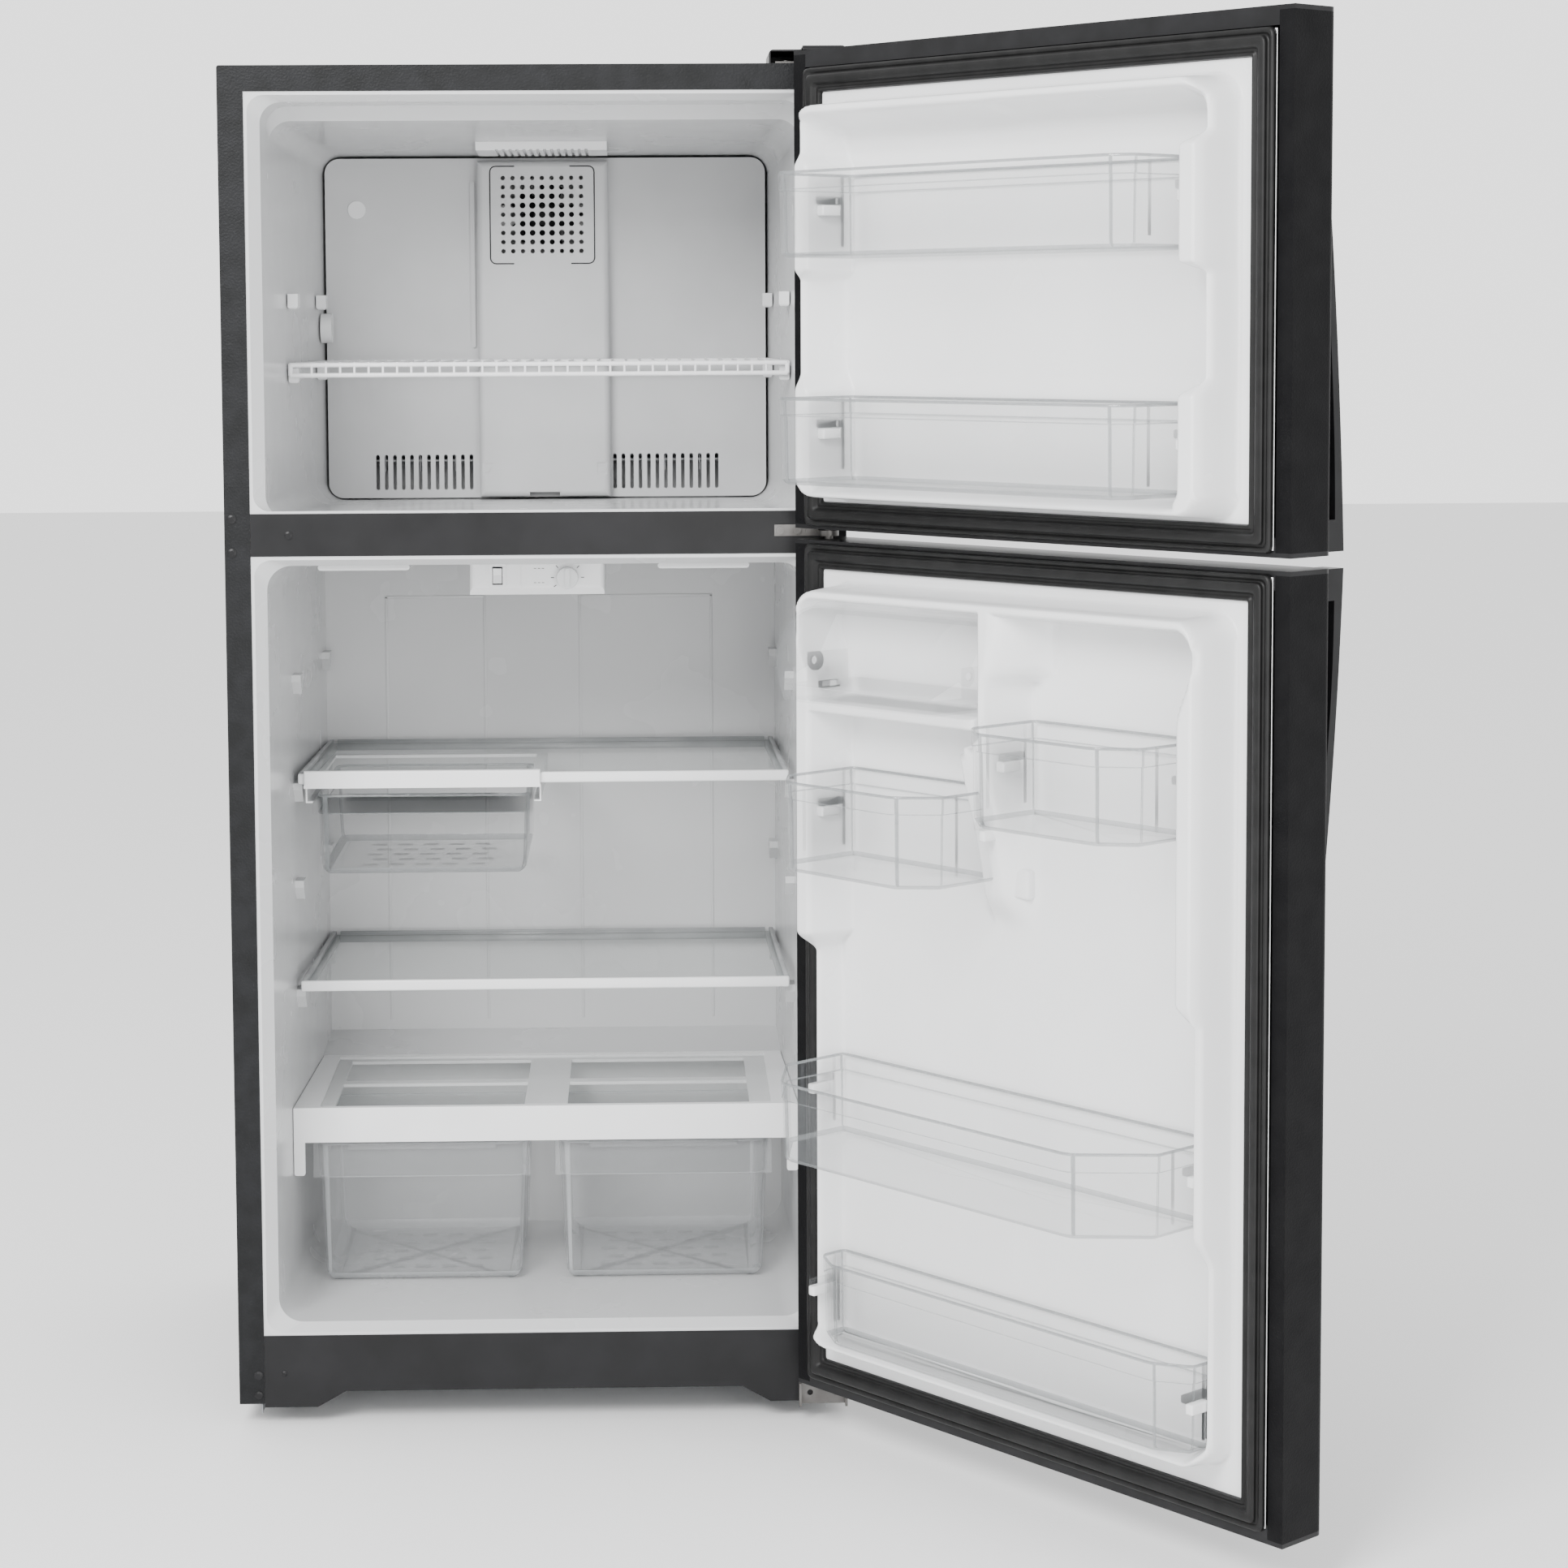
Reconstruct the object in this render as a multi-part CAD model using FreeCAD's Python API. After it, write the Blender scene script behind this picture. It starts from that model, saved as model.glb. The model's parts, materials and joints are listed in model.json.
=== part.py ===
"""Top-freezer refrigerator, built as the separate pieces it is assembled from.

Millimetres, +Z up, +Y from the doors towards the back, +X towards the hinge side.
Everything is modelled with Y = 0 on the cabinet's front flange and the doors closed.
export() then moves each piece to the stored frame, whose origin is the centre of the
cabinet's footprint on the floor, with both doors swung to their open rest angle.
"""

import FreeCAD
import Part

import math
import os

V = FreeCAD.Vector
X_AXIS, Y_AXIS, Z_AXIS = V(1, 0, 0), V(0, 1, 0), V(0, 0, 1)

# --- cabinet --------------------------------------------------------------------
CASE_W = 756.0
CASE_TOP = 1673.0
CASE_BOTTOM = 28.0
CASE_D = 664.0
CASE_HALF = CASE_W / 2
SHEET = 1.0
FLANGE_W = 31.3
BEND_R = 3.0
FIT = 0.2  # slack of foam and inserts against the sheet metal around them

MULLION_LOW, MULLION_HIGH = 1081.4, 1133.3
KICK_TOP, KICK_BOTTOM, KICK_ARCH = 114.0, 23.5, 43.0
OPEN_HALF = CASE_HALF - FLANGE_W

# --- liners: (depth, half width, lowest z, highest z, corner radius) ---------------
LINER_T = 2.0
LIP_D = 16.0
FREEZER_BACK = 590.0
FREEZER_SECTIONS = [
    (0.0, 343.5, 1137.0, 1638.0, 20.0),
    (LIP_D, 329.0, 1128.0, 1630.0, 26.0),
    (64.0, 326.4, 1127.5, 1628.0, 26.0),
    (82.0, 325.5, 1127.3, 1611.0, 26.0),
    (FREEZER_BACK, 299.0, 1122.0, 1586.0, 26.0),
]
FRIDGE_BACK = 560.0
FRIDGE_SECTIONS = [
    (0.0, 343.5, 117.0, 1077.5, 20.0),
    (LIP_D, 329.0, 127.0, 1069.0, 30.0),
    (FRIDGE_BACK, 311.0, 127.0, 1057.0, 30.0),
]
LEDGE_Y, LEDGE_FRONT_Z, LEDGE_BACK_Z = 470.0, 362.0, 378.0
SPARE_LEVELS = (914.0, 647.0)  # shelf supports that carry nothing
CEILING_PADS = ((-268.0, -156.0), (148.0, 260.0))  # shallow raised pads on the ceiling, just behind the lip
SUPPORT_Y, SUPPORT_REACH = (230.0, 522.0), 11.0

# --- base and machine compartment ----------------------------------------------------
FOAM_FLOOR, PAN_T = 62.0, 1.5
MACHINE_Y, MACHINE_TOP = 500.0, 300.0
TRAY_Z = 46.0
RAIL_X = 350.0
LEG_X, LEG_Y = 326.0, 95.0
ROLLER_R, ROLLER_Y, ROLLER_W, AXLE_R = 22.0, 612.0, 18.0, 4.0
RUNNING = 0.05  # radial clearance of turning pins and shafts

# --- freezer interior -------------------------------------------------------------------
COVER_Y, COVER_T = 515.0, 3.0
COVER_HALF, COVER_LOW, COVER_HIGH = 299.0, 1125.2, 1586.0
TOWER_X0, TOWER_X1, TOWER_Y, TOWER_TOP = -92.0, 86.0, 490.0, 1581.0
GRILLE_X, GRILLE_Z, GRILLE_PITCH_X, GRILLE_PITCH_Z = -3.6, 1509.0, 13.2, 12.3
GRILLE_N = 9
FAN_Z, FAN_R = 1509.0, 48.0
WIRE_FRONT, WIRE_BACK, WIRE_Z = 190.0, 480.0, 1311.0

# --- fridge interior --------------------------------------------------------------------
SHELF_FRONT, SHELF_BACK = 200.0, 552.0
SHELF_HALF_FRONT, SHELF_HALF_BACK = 315.0, 307.0
SHELF_T, GLASS_T = 14.0, 4.0
UPPER_SHELF, MIDDLE_SHELF = 788.0, 519.0
HOUSING_X0, HOUSING_X1, HOUSING_Y0, HOUSING_Y1, HOUSING_LOW = -89.0, 81.0, 142.0, 330.0, 1021.0
KNOB_X, KNOB_Z, KNOB_R, KNOB_SHAFT_R = 34.4, 1042.8, 13.7, 4.0
SWITCH_X, SWITCH_Y, SWITCH_Z = -53.8, 147.0, 1045.5
SNACK_X0, SNACK_X1, SNACK_LOW, SNACK_RIM = -300.0, -11.0, 655.0, 764.0
SNACK_Y0, SNACK_Y1 = 204.0, 500.0
CRISPER_Y0, CRISPER_Y1, CRISPER_LOW, CRISPER_RIM = 176.0, 452.0, 127.5, 314.0
CRISPERS = {"left": (-296.0, -25.0), "right": (15.0, 286.0)}
CRISPER_COVER = 362.0
BIN_WALL = 2.5

# --- doors ----------------------------------------------------------------------------------
DOOR_GAP, DOOR_T = 11.5, 68.8
DOOR_IN, DOOR_OUT = -DOOR_GAP, -DOOR_GAP - DOOR_T
FREEZER_DOOR_Z = (1115.3, 1683.5)
FRIDGE_DOOR_Z = (62.9, 1101.8)
FREEZER_DIKE_Z = (1151.0, 1619.5)
FRIDGE_DIKE_Z = (131.0, 1055.8)
FREEZER_SEAL_Z = (1119.0, 1662.0)
FRIDGE_SEAL_Z = (75.0, 1098.0)
HINGE_X, HINGE_Y, PIN_R = 354.0, -44.0, 5.0
OPEN_ANGLE = 130.0
DOOR_EDGE_R = 10.0
CAP_T = 5.0
RETURN_W, LIP_H = 20.0, 18.0  # how far the pan's sides and the end caps turn in over the door's back
GASKET_T, GASKET_HALF, GASKET_W = 11.0, 356.0, 30.0
DIKE_BASE, DIKE_LEAN, DIKE_Y = 312.0, 6.0, 58.0
NARROW_HALF, WIDE_HALF = 280.0, 298.0  # half widths of the recess inside the dike
PAD_Z = (690.0, 1025.0)  # where the fridge door's recess is narrow
SPINE_X, SPINE_Z, SPINE_Y = (-14.0, 10.0), (700.0, 1036.0), 46.0
LEDGE_Z = (904.0, 922.0)  # the shelf moulded under the dairy tray
# where the door border is lower, between the bins: side of the door (1 is the hinge side), height y, z range
FREEZER_DIPS = [(side, y, *span) for side, y in ((-1, 36.0), (1, 49.0))
                for span in ((1303.0, 1410.0), (1560.0, 1592.0))]
FRIDGE_DIPS = [(1, 26.0, 165.0, 614.0), (-1, 24.0, 165.0, 352.0), (-1, 50.0, 352.0, 616.0)]
PANEL_Y = -9.5  # inner face of the door liner's flat back wall
# name: lowest x, highest x, front y, shoulder y, floor z, rim z
DOOR_BINS = {
    "freezer_upper_bin": (-272.0, 272.0, 130.0, 112.0, 1435.0, 1533.0),
    "freezer_lower_bin": (-272.0, 272.0, 130.0, 112.0, 1176.0, 1276.0),
    "fridge_bin_upper_left": (18.0, 272.0, 140.0, 100.0, 731.0, 837.0),
    "fridge_bin_upper_right": (-272.0, -22.0, 130.0, 96.0, 812.0, 918.0),
    "fridge_bin_lower": (-290.0, 290.0, 157.0, 88.0, 396.0, 490.0),
    "fridge_bin_bottom": (-290.0, 290.0, 54.0, 30.0, 150.0, 250.0),
}
DAIRY_X, DAIRY_Z = (18.0, 272.0), (926.0, 1034.0)
DAIRY_PIVOT, DAIRY_R = (58.0, 968.0), 64.0
DAIRY_FRONT, TRAY_RIM = 118.0, 18.0
HANDLE_X, HANDLE_W, HANDLE_OUT, HANDLE_TIP, HANDLE_BAR = -358.0, 28.0, 44.0, 9.0, 15.0
FREEZER_HANDLE = (1117.0, 1556.0)  # from the doors' split to the far end
FRIDGE_HANDLE = (1099.0, 708.0)


def box(x0, x1, y0, y1, z0, z1):
    return Part.makeBox(x1 - x0, y1 - y0, z1 - z0, V(x0, y0, z0))


def rod(start, end, radius):
    """A round bar from one point to another."""
    start, end = V(*start), V(*end)
    return Part.makeCylinder(radius, (end - start).Length, start, end - start)


def fuse(shapes):
    """One solid from pieces that meet or overlap."""
    shapes = list(shapes)
    return shapes[0].multiFuse(shapes[1:]).removeSplitter() if len(shapes) > 1 else shapes[0]


def cut(shape, tools):
    return shape.cut(list(tools))


def polygon_prism(points, direction):
    """A flat polygon of 3-D points, swept along a direction."""
    wire = Part.makePolygon([V(*p) for p in points] + [V(*points[0])])
    return Part.Face(wire).extrude(V(*direction))


def round_edges(shape, radius, keep):
    """Rounds the straight edges whose two ends both satisfy keep(point)."""
    edges = [e for e in shape.Edges if len(e.Vertexes) == 2 and all(keep(v.Point) for v in e.Vertexes)]
    return shape.makeFillet(radius, edges)


def corner_loop(low, high, radius, place):
    """A closed rounded rectangle from low to high corner; place maps its two numbers to a point."""
    (a0, b0), (a1, b1) = low, high
    arcs = []
    for a, b, start in ((a1 - radius, b0 + radius, 270), (a1 - radius, b1 - radius, 0),
                        (a0 + radius, b1 - radius, 90), (a0 + radius, b0 + radius, 180)):
        angles = [math.radians(start + turn) for turn in (0, 45, 90)]
        arcs.append([place(a + radius * math.cos(t), b + radius * math.sin(t)) for t in angles])
    edges = []
    for here, after in zip(arcs, arcs[1:] + arcs[:1]):
        edges.append(Part.Arc(*here).toShape())
        edges.append(Part.LineSegment(here[2], after[0]).toShape())
    return Part.Wire(edges)


def upright_loop(y, x0, x1, z0, z1, radius):
    return corner_loop((x0, z0), (x1, z1), radius, lambda a, b: V(a, y, b))


def level_loop(z, x0, x1, y0, y1, radius):
    return corner_loop((x0, y0), (x1, y1), radius, lambda a, b: V(a, b, z))


def rounded_prism(x0, x1, y0, y1, z0, z1, radius):
    """A bar of rounded-rectangle section that runs along Y."""
    return Part.Face(upright_loop(y0, x0, x1, z0, z1, radius)).extrude(V(0, y1 - y0, 0))


def rounded_slab(x0, x1, y0, y1, z0, z1, radius):
    """A slab with rounded corners in plan."""
    return Part.Face(level_loop(z0, x0, x1, y0, y1, radius)).extrude(V(0, 0, z1 - z0))


def basin(x0, x1, y0, y1, z0, z1, draft, radius, wall):
    """An open-topped bin whose sides lean inwards by draft from the rim to the floor."""
    def body(inset, low):
        loops = [level_loop(z, x0 + d, x1 - d, y0 + d, y1 - d, radius)
                 for z, d in ((low, draft + inset), (z1, inset))]
        return Part.makeLoft(loops, True, True)
    return body(0, z0).cut(body(wall, z0 + wall))


# --- cabinet pieces -----------------------------------------------------------------------


def bent_line(half, top, radius):
    """The edges of an upside-down U from the right foot over the top to the left foot."""
    corner = math.radians(45)
    feet = [V(half, 0, CASE_BOTTOM), V(half, 0, top - radius)]
    edges = [Part.LineSegment(*feet).toShape()]
    for side, last in ((1, V(-half + radius, 0, top)), (-1, V(-half, 0, CASE_BOTTOM))):
        x, z = side * (half - radius), top - radius
        middle = V(x + side * radius * math.cos(corner), 0, z + radius * math.sin(corner))
        start, end = V(side * half, 0, z), V(x, 0, top)
        if side < 0:
            start, end = end, start
        edges.append(Part.Arc(start, middle, end).toShape())
        edges.append(Part.LineSegment(end, last).toShape())
    return edges


def case_wrapper():
    """One sheet bent into two sides and the top, with its front edge returned as a flange."""
    outside = bent_line(CASE_HALF, CASE_TOP, BEND_R)

    def band(inside, half, depth):
        """The flat band from the outside line to an inside one, pushed back by depth."""
        joins = []
        for side in (-1, 1):
            foot, toe = V(side * CASE_HALF, 0, CASE_BOTTOM), V(side * half, 0, CASE_BOTTOM)
            joins.append(Part.LineSegment(foot, toe).toShape())
        wire = Part.Wire(Part.sortEdges(outside + inside + joins)[0])
        return Part.Face(wire).extrude(V(0, depth, 0))
    side = CASE_HALF - SHEET
    walls = band(bent_line(side, CASE_TOP - SHEET, BEND_R - SHEET), side, CASE_D)
    mouth = [V(OPEN_HALF, 0, CASE_BOTTOM), V(OPEN_HALF, 0, CASE_TOP - FLANGE_W),
             V(-OPEN_HALF, 0, CASE_TOP - FLANGE_W), V(-OPEN_HALF, 0, CASE_BOTTOM)]
    flange = band([Part.LineSegment(a, b).toShape() for a, b in zip(mouth, mouth[1:])], OPEN_HALF, SHEET)
    return fuse([walls, flange])


def rear_panel():
    side = CASE_HALF - SHEET - FIT
    low = MACHINE_TOP + PAN_T
    sheet = box(-side, side, CASE_D - SHEET, CASE_D, low, CASE_TOP - SHEET - BEND_R)
    beads = [rounded_prism(x - 9, x + 9, CASE_D - SHEET - 3, CASE_D - SHEET, low + 60, CASE_TOP - 90, 8.9)
             for x in (-250, -125, 0, 125, 250)]
    grooves = [rounded_prism(x - 7, x + 7, CASE_D - 3, CASE_D + 1, low + 62, CASE_TOP - 92, 6.9)
               for x in (-250, -125, 0, 125, 250)]
    return cut(fuse([sheet] + beads), grooves)


def base_pan():
    """The stepped floor under the foam, the compressor tray and the two side rails."""
    half = CASE_HALF - SHEET - FIT
    back, end = CASE_D - 8, CASE_D - SHEET - FIT
    step = [(4, FOAM_FLOOR), (MACHINE_Y, FOAM_FLOOR), (MACHINE_Y, MACHINE_TOP), (end, MACHINE_TOP),
            (end, MACHINE_TOP + PAN_T), (MACHINE_Y - PAN_T, MACHINE_TOP + PAN_T),
            (MACHINE_Y - PAN_T, FOAM_FLOOR + PAN_T), (4, FOAM_FLOOR + PAN_T)]
    floor = polygon_prism([(-half, y, z) for y, z in step], (2 * half, 0, 0))
    tray = box(-half, half, MACHINE_Y - 40, back, TRAY_Z, TRAY_Z + PAN_T)
    lip = box(-half, half, back, back + PAN_T, TRAY_Z, TRAY_Z + 60)
    rails = []
    for side in (-1, 1):
        x0, x1 = sorted((side * RAIL_X, side * (RAIL_X + PAN_T)))
        w0, w1 = sorted((side * RAIL_X, side * (RAIL_X - 44)))
        rails.append(box(x0, x1, 6, back, 14, FOAM_FLOOR))
        rails.append(box(w0, w1, 6, LEG_Y + 26, TRAY_Z, TRAY_Z + PAN_T))
    pan = fuse([floor, tray, lip] + rails)
    holes = [rod((s * LEG_X, LEG_Y, 0), (s * LEG_X, LEG_Y, FOAM_FLOOR), PIN_R + RUNNING) for s in (-1, 1)]
    holes.append(rod((-CASE_HALF, ROLLER_Y, ROLLER_R), (CASE_HALF, ROLLER_Y, ROLLER_R), AXLE_R + RUNNING))
    holes.append(rod((-300, back - 5, 70), (-300, back + 5, 70), 11.2))
    return cut(pan, holes)


def liner_loft(sections, grow, first_y=None):
    """The hollow of a compartment, or with grow its outside, as straight runs between its sections."""
    loops = []
    for y, half, low, high, radius in sections:
        loops.append(upright_loop(y, -half - grow, half + grow, low - grow, high + grow, radius + grow))
    if first_y is not None:
        _, half, low, high, radius = sections[0]
        mouth = upright_loop(first_y, -half - grow, half + grow, low - grow, high + grow, radius + grow)
        loops.insert(0, mouth)
    return Part.makeLoft(loops, True, True)


def with_back(sections, grow):
    """The sections with the last one moved back by grow, keeping the walls' slope."""
    *rest, (y0, h0, l0, t0, r0), (y1, h1, l1, t1, r1) = sections
    k = (y1 + grow - y0) / (y1 - y0)
    far = (y1 + grow, h0 + (h1 - h0) * k, l0 + (l1 - l0) * k, t0 + (t1 - t0) * k, r1)
    return [*rest, (y0, h0, l0, t0, r0), far]


def wall_half(sections, y):
    """The liner's half width at depth y, behind its lip."""
    (y0, h0, *_), (y1, h1, *_) = sections[-2:]
    return h0 + (h1 - h0) * (y - y0) / (y1 - y0)


def ceiling(sections, y):
    """The height of the liner's ceiling at depth y, behind its lip."""
    (y0, _, _, t0, _), (y1, _, _, t1, _) = sections[-2:]
    return t0 + (t1 - t0) * (y - y0) / (y1 - y0)


def ledge_block(grow):
    """The step over the machine compartment, which fills the fridge liner's lower back."""
    slope = (LEDGE_BACK_Z - LEDGE_FRONT_Z) / (FRIDGE_BACK - LEDGE_Y)
    y0, y1 = LEDGE_Y + grow, FRIDGE_BACK + 40
    top = LEDGE_FRONT_Z - grow + slope * grow
    points = [(-CASE_HALF, y0, 90), (-CASE_HALF, y1, 90), (-CASE_HALF, y1, top + slope * (y1 - y0)),
              (-CASE_HALF, y0, top)]
    return polygon_prism(points, (CASE_W, 0, 0))


def liner_outside(sections, grow, step):
    body = liner_loft(with_back(sections, grow), grow)
    return body.cut(ledge_block(grow)) if step else body


def lip_flange(sections):
    """The liner's flat rim behind the cabinet's front flange."""
    _, half, low, high, radius = sections[0]
    return rounded_prism(-half - 18, half + 18, SHEET, SHEET + LINER_T, low - 14, high + 18, radius)


def freezer_liner():
    shell = fuse([liner_outside(FREEZER_SECTIONS, LINER_T, False), lip_flange(FREEZER_SECTIONS)])
    keep = box(-CASE_HALF, CASE_HALF, SHEET, CASE_D, MULLION_LOW, CASE_TOP)
    return shell.cut(liner_loft(FREEZER_SECTIONS, 0, -5)).common(keep)


def shelf_support(y, z, side):
    """A diamond-shaped boss moulded on the side wall, flat on top, that carries a shelf."""
    half = wall_half(FRIDGE_SECTIONS, y)
    points = [(y - 15, z), (y + 15, z), (y + 15, z - 9), (y, z - 26), (y - 15, z - 9)]
    x0 = side * (half - SUPPORT_REACH)
    return polygon_prism([(x0, a, b) for a, b in points], (side * (SUPPORT_REACH + LINER_T / 2), 0, 0))


def fridge_liner():
    shell = fuse([liner_outside(FRIDGE_SECTIONS, LINER_T, True), lip_flange(FRIDGE_SECTIONS)])
    hollow = liner_loft(FRIDGE_SECTIONS, 0, -5).cut(ledge_block(0))
    keep = box(-CASE_HALF, CASE_HALF, SHEET, CASE_D, 0, MULLION_HIGH)
    body = shell.cut(hollow).common(keep)
    levels = [UPPER_SHELF - SHELF_T, MIDDLE_SHELF - SHELF_T, *SPARE_LEVELS]
    bosses = [shelf_support(y, z, side) for z in levels for y in SUPPORT_Y for side in (-1, 1)]
    top = ceiling(FRIDGE_SECTIONS, 96)
    pads = [rounded_prism(x0, x1, 26, 96, top - 5.2, top + 1.8, 3.4) for x0, x1 in CEILING_PADS]
    return fuse([body] + bosses + pads)


def case_foam():
    side = CASE_HALF - SHEET - FIT
    block = box(-side, side, 4.0, CASE_D - SHEET - FIT, FOAM_FLOOR + PAN_T + FIT, CASE_TOP - SHEET - BEND_R)
    machine = box(-CASE_HALF, CASE_HALF, MACHINE_Y - PAN_T - FIT, CASE_D, 0, MACHINE_TOP + PAN_T + FIT)
    rail = box(-OPEN_HALF - FIT, OPEN_HALF + FIT, 0, 42, MULLION_LOW + 8, MULLION_HIGH - 8)
    kick = box(-OPEN_HALF - FIT, OPEN_HALF + FIT, 0, 18, 0, KICK_TOP + FIT)
    beads = box(-270, 270, CASE_D - 5, CASE_D, MACHINE_TOP, CASE_TOP - 60)
    skin = LINER_T + FIT
    liners = [liner_outside(FREEZER_SECTIONS, skin, False), liner_outside(FRIDGE_SECTIONS, skin, True)]
    return cut(block, [machine, rail, kick, beads] + liners)


def mullion_rail():
    face = box(-OPEN_HALF + FIT, OPEN_HALF - FIT, 0, SHEET, MULLION_LOW, MULLION_HIGH)
    webs = [box(-OPEN_HALF + FIT, OPEN_HALF - FIT, 0, 40, z, z + SHEET) for z in (1096.0, 1116.0)]
    return fuse([face] + webs)


def kick_plate():
    """The bottom front rail, arched between its two feet."""
    half = OPEN_HALF - FIT
    outline = [(-half, KICK_TOP), (-half, KICK_BOTTOM), (-281, KICK_BOTTOM), (-246, KICK_ARCH),
               (246, KICK_ARCH), (281, KICK_BOTTOM), (half, KICK_BOTTOM), (half, KICK_TOP)]
    plate = polygon_prism([(x, 0, z) for x, z in outline], (0, SHEET, 0))
    top = box(-half, half, 0, 14, KICK_TOP - 16, KICK_TOP - 16 + SHEET)
    hem = box(-246, 246, 0, 12, KICK_ARCH, KICK_ARCH + SHEET)
    return fuse([plate, top, hem])


def dome(x, z, radius, height):
    """A low button on the front plane with a bevelled rim, as on a plastic hole plug."""
    rim = rod((x, -height / 2, z), (x, 0, z), radius)
    crown = Part.makeCone(radius, radius * 0.55, height / 2, V(x, -height / 2, z), V(0, -1, 0))
    return fuse([rim, crown])


def hole_plugs():
    spots = [(-369, 1126.9, 5.5), (-369, 1086, 5.5), (-300.5, 1107, 5), (-354, 64, 5.5), (-322, 66, 3.5),
             (-354, 39, 5)]
    return Part.makeCompound([dome(x, z, r, 1.8) for x, z, r in spots])


# --- freezer pieces ---------------------------------------------------------------------------


def vent_slots(first_x, count):
    """A row of upright slots near the floor of the evaporator cover."""
    pitch, width = 11.6, 5.0
    return [rounded_prism(first_x + i * pitch - width / 2, first_x + i * pitch + width / 2, COVER_Y - 1,
                          COVER_Y + COVER_T + 1, 1136, 1184, width / 2 - 0.01) for i in range(count)]


def evaporator_cover():
    plate = rounded_prism(-COVER_HALF, COVER_HALF, COVER_Y, COVER_Y + COVER_T, COVER_LOW, COVER_HIGH, 20)
    skirt = rounded_prism(-COVER_HALF, COVER_HALF, COVER_Y + COVER_T, COVER_Y + 14, COVER_LOW, COVER_HIGH, 20)
    hollow = rounded_prism(4 - COVER_HALF, COVER_HALF - 4, COVER_Y + COVER_T, COVER_Y + 15, COVER_LOW + 4,
                           COVER_HIGH - 4, 16)
    rib = rounded_prism(-102, -96, COVER_Y - 4, COVER_Y, 1330, 1555, 2.9)
    shell = fuse([plate, skirt.cut(hollow), rib])
    half_x, half_z = (GRILLE_N / 2 * pitch for pitch in (GRILLE_PITCH_X, GRILLE_PITCH_Z))
    throat = rounded_prism(GRILLE_X - half_x, GRILLE_X + half_x, COVER_Y - 1, COVER_Y + 5, GRILLE_Z - half_z,
                           GRILLE_Z + half_z, 12)
    return cut(shell, vent_slots(-232.0, 12) + vent_slots(92.0, 13) + [throat])


def air_tower():
    """The fan duct in front of the cover, with a square grille of round holes."""
    x0, x1 = TOWER_X0, TOWER_X1
    body = box(x0, x1, TOWER_Y, COVER_Y, COVER_LOW + 1, TOWER_TOP)
    body = round_edges(body, 9, lambda p: p.y < TOWER_Y + 0.01 and abs(p.x - x0) * abs(p.x - x1) < 0.01)
    hollow = box(x0 + 2, x1 - 2, TOWER_Y + 2.5, COVER_Y + 1, COVER_LOW, TOWER_TOP - 2)
    inner_sides = (x0 + 2, x1 - 2)
    front_y = TOWER_Y + 2.6
    hollow = round_edges(hollow, 7, lambda p: p.y < front_y and min(abs(p.x - x) for x in inner_sides) < 0.01)
    middle = (GRILLE_N - 1) / 2
    holes = []
    for row in range(GRILLE_N):
        for column in range(GRILLE_N):
            edge = max(abs(row - middle), abs(column - middle))
            radius = 4.4 - 0.45 * max(0.0, edge - 1)
            x = GRILLE_X + (column - middle) * GRILLE_PITCH_X
            z = GRILLE_Z + (row - middle) * GRILLE_PITCH_Z
            holes.append(rod((x, TOWER_Y - 1, z), (x, TOWER_Y + 4, z), radius))
    ring = rounded_prism(-75, 68, TOWER_Y, TOWER_Y + 0.9, 1442, 1575, 9)
    ring = ring.cut(rounded_prism(-73, 66, TOWER_Y - 1, TOWER_Y + 2, 1444, 1573, 7.5))
    bridges = [box(-42, 35, TOWER_Y - 1, TOWER_Y + 2, z, z + 8) for z in (1438, 1571)]
    ring = cut(ring, bridges)
    notch = box(-24, 17, TOWER_Y - 1, TOWER_Y + 4, COVER_LOW, COVER_LOW + 8)
    pockets = [box(x - 8, x + 8, TOWER_Y - 1, TOWER_Y + 1.2, 1157, 1173) for x in (-82, 76)]
    screws = [rod((x, TOWER_Y + 0.2, 1165), (x, TOWER_Y + 2.2, 1165), 4.5) for x in (-82, 76)]
    shell = cut(body, [hollow, notch, ring] + holes + pockets)
    return fuse([shell] + screws)


def evaporator_coil():
    """A finned tube coil behind the cover."""
    y0, y1, z0, z1 = 540.0, 576.0, 1160.0, 1330.0
    fins = [box(x, x + 0.8, y0, y1, z0, z1) for x in range(-240, 241, 16)]
    tubes = [rod((-258, y, z), (258, y, z), 4) for y in (549, 567) for z in range(1175, 1330, 46)]
    bends = []
    for y in (549, 567):
        for side, first in ((1, 1175), (-1, 1221)):
            for z in range(first, 1290, 92):
                ring = Part.makeTorus(23, 4, V(side * 258, y, z + 23), Y_AXIS)
                bends.append(ring.common(box(*sorted((side * 258, side * 290)), y - 5, y + 5, z - 5, z + 51)))
    return fuse(fins + tubes + bends)


def evaporator_fan():
    """The fan's hub and five pitched blades, turning on the motor's shaft."""
    y0, y1 = 528.0, 542.0
    hub = rod((GRILLE_X, y0, FAN_Z), (GRILLE_X, y1, FAN_Z), 13)
    blades = []
    for turn in range(0, 360, 72):
        blade = box(GRILLE_X + 10, GRILLE_X + FAN_R - 4, y0 + 6, y0 + 7.4, FAN_Z - 15, FAN_Z + 15)
        blade.rotate(V(GRILLE_X, y0 + 6.7, FAN_Z), X_AXIS, 22)
        blade.rotate(V(GRILLE_X, y0, FAN_Z), Y_AXIS, turn)
        blades.append(blade)
    bore = rod((GRILLE_X, y0 + 2, FAN_Z), (GRILLE_X, y1 + 1, FAN_Z), 2.5 + RUNNING)
    return fuse([hub] + blades).cut(bore)


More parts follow.
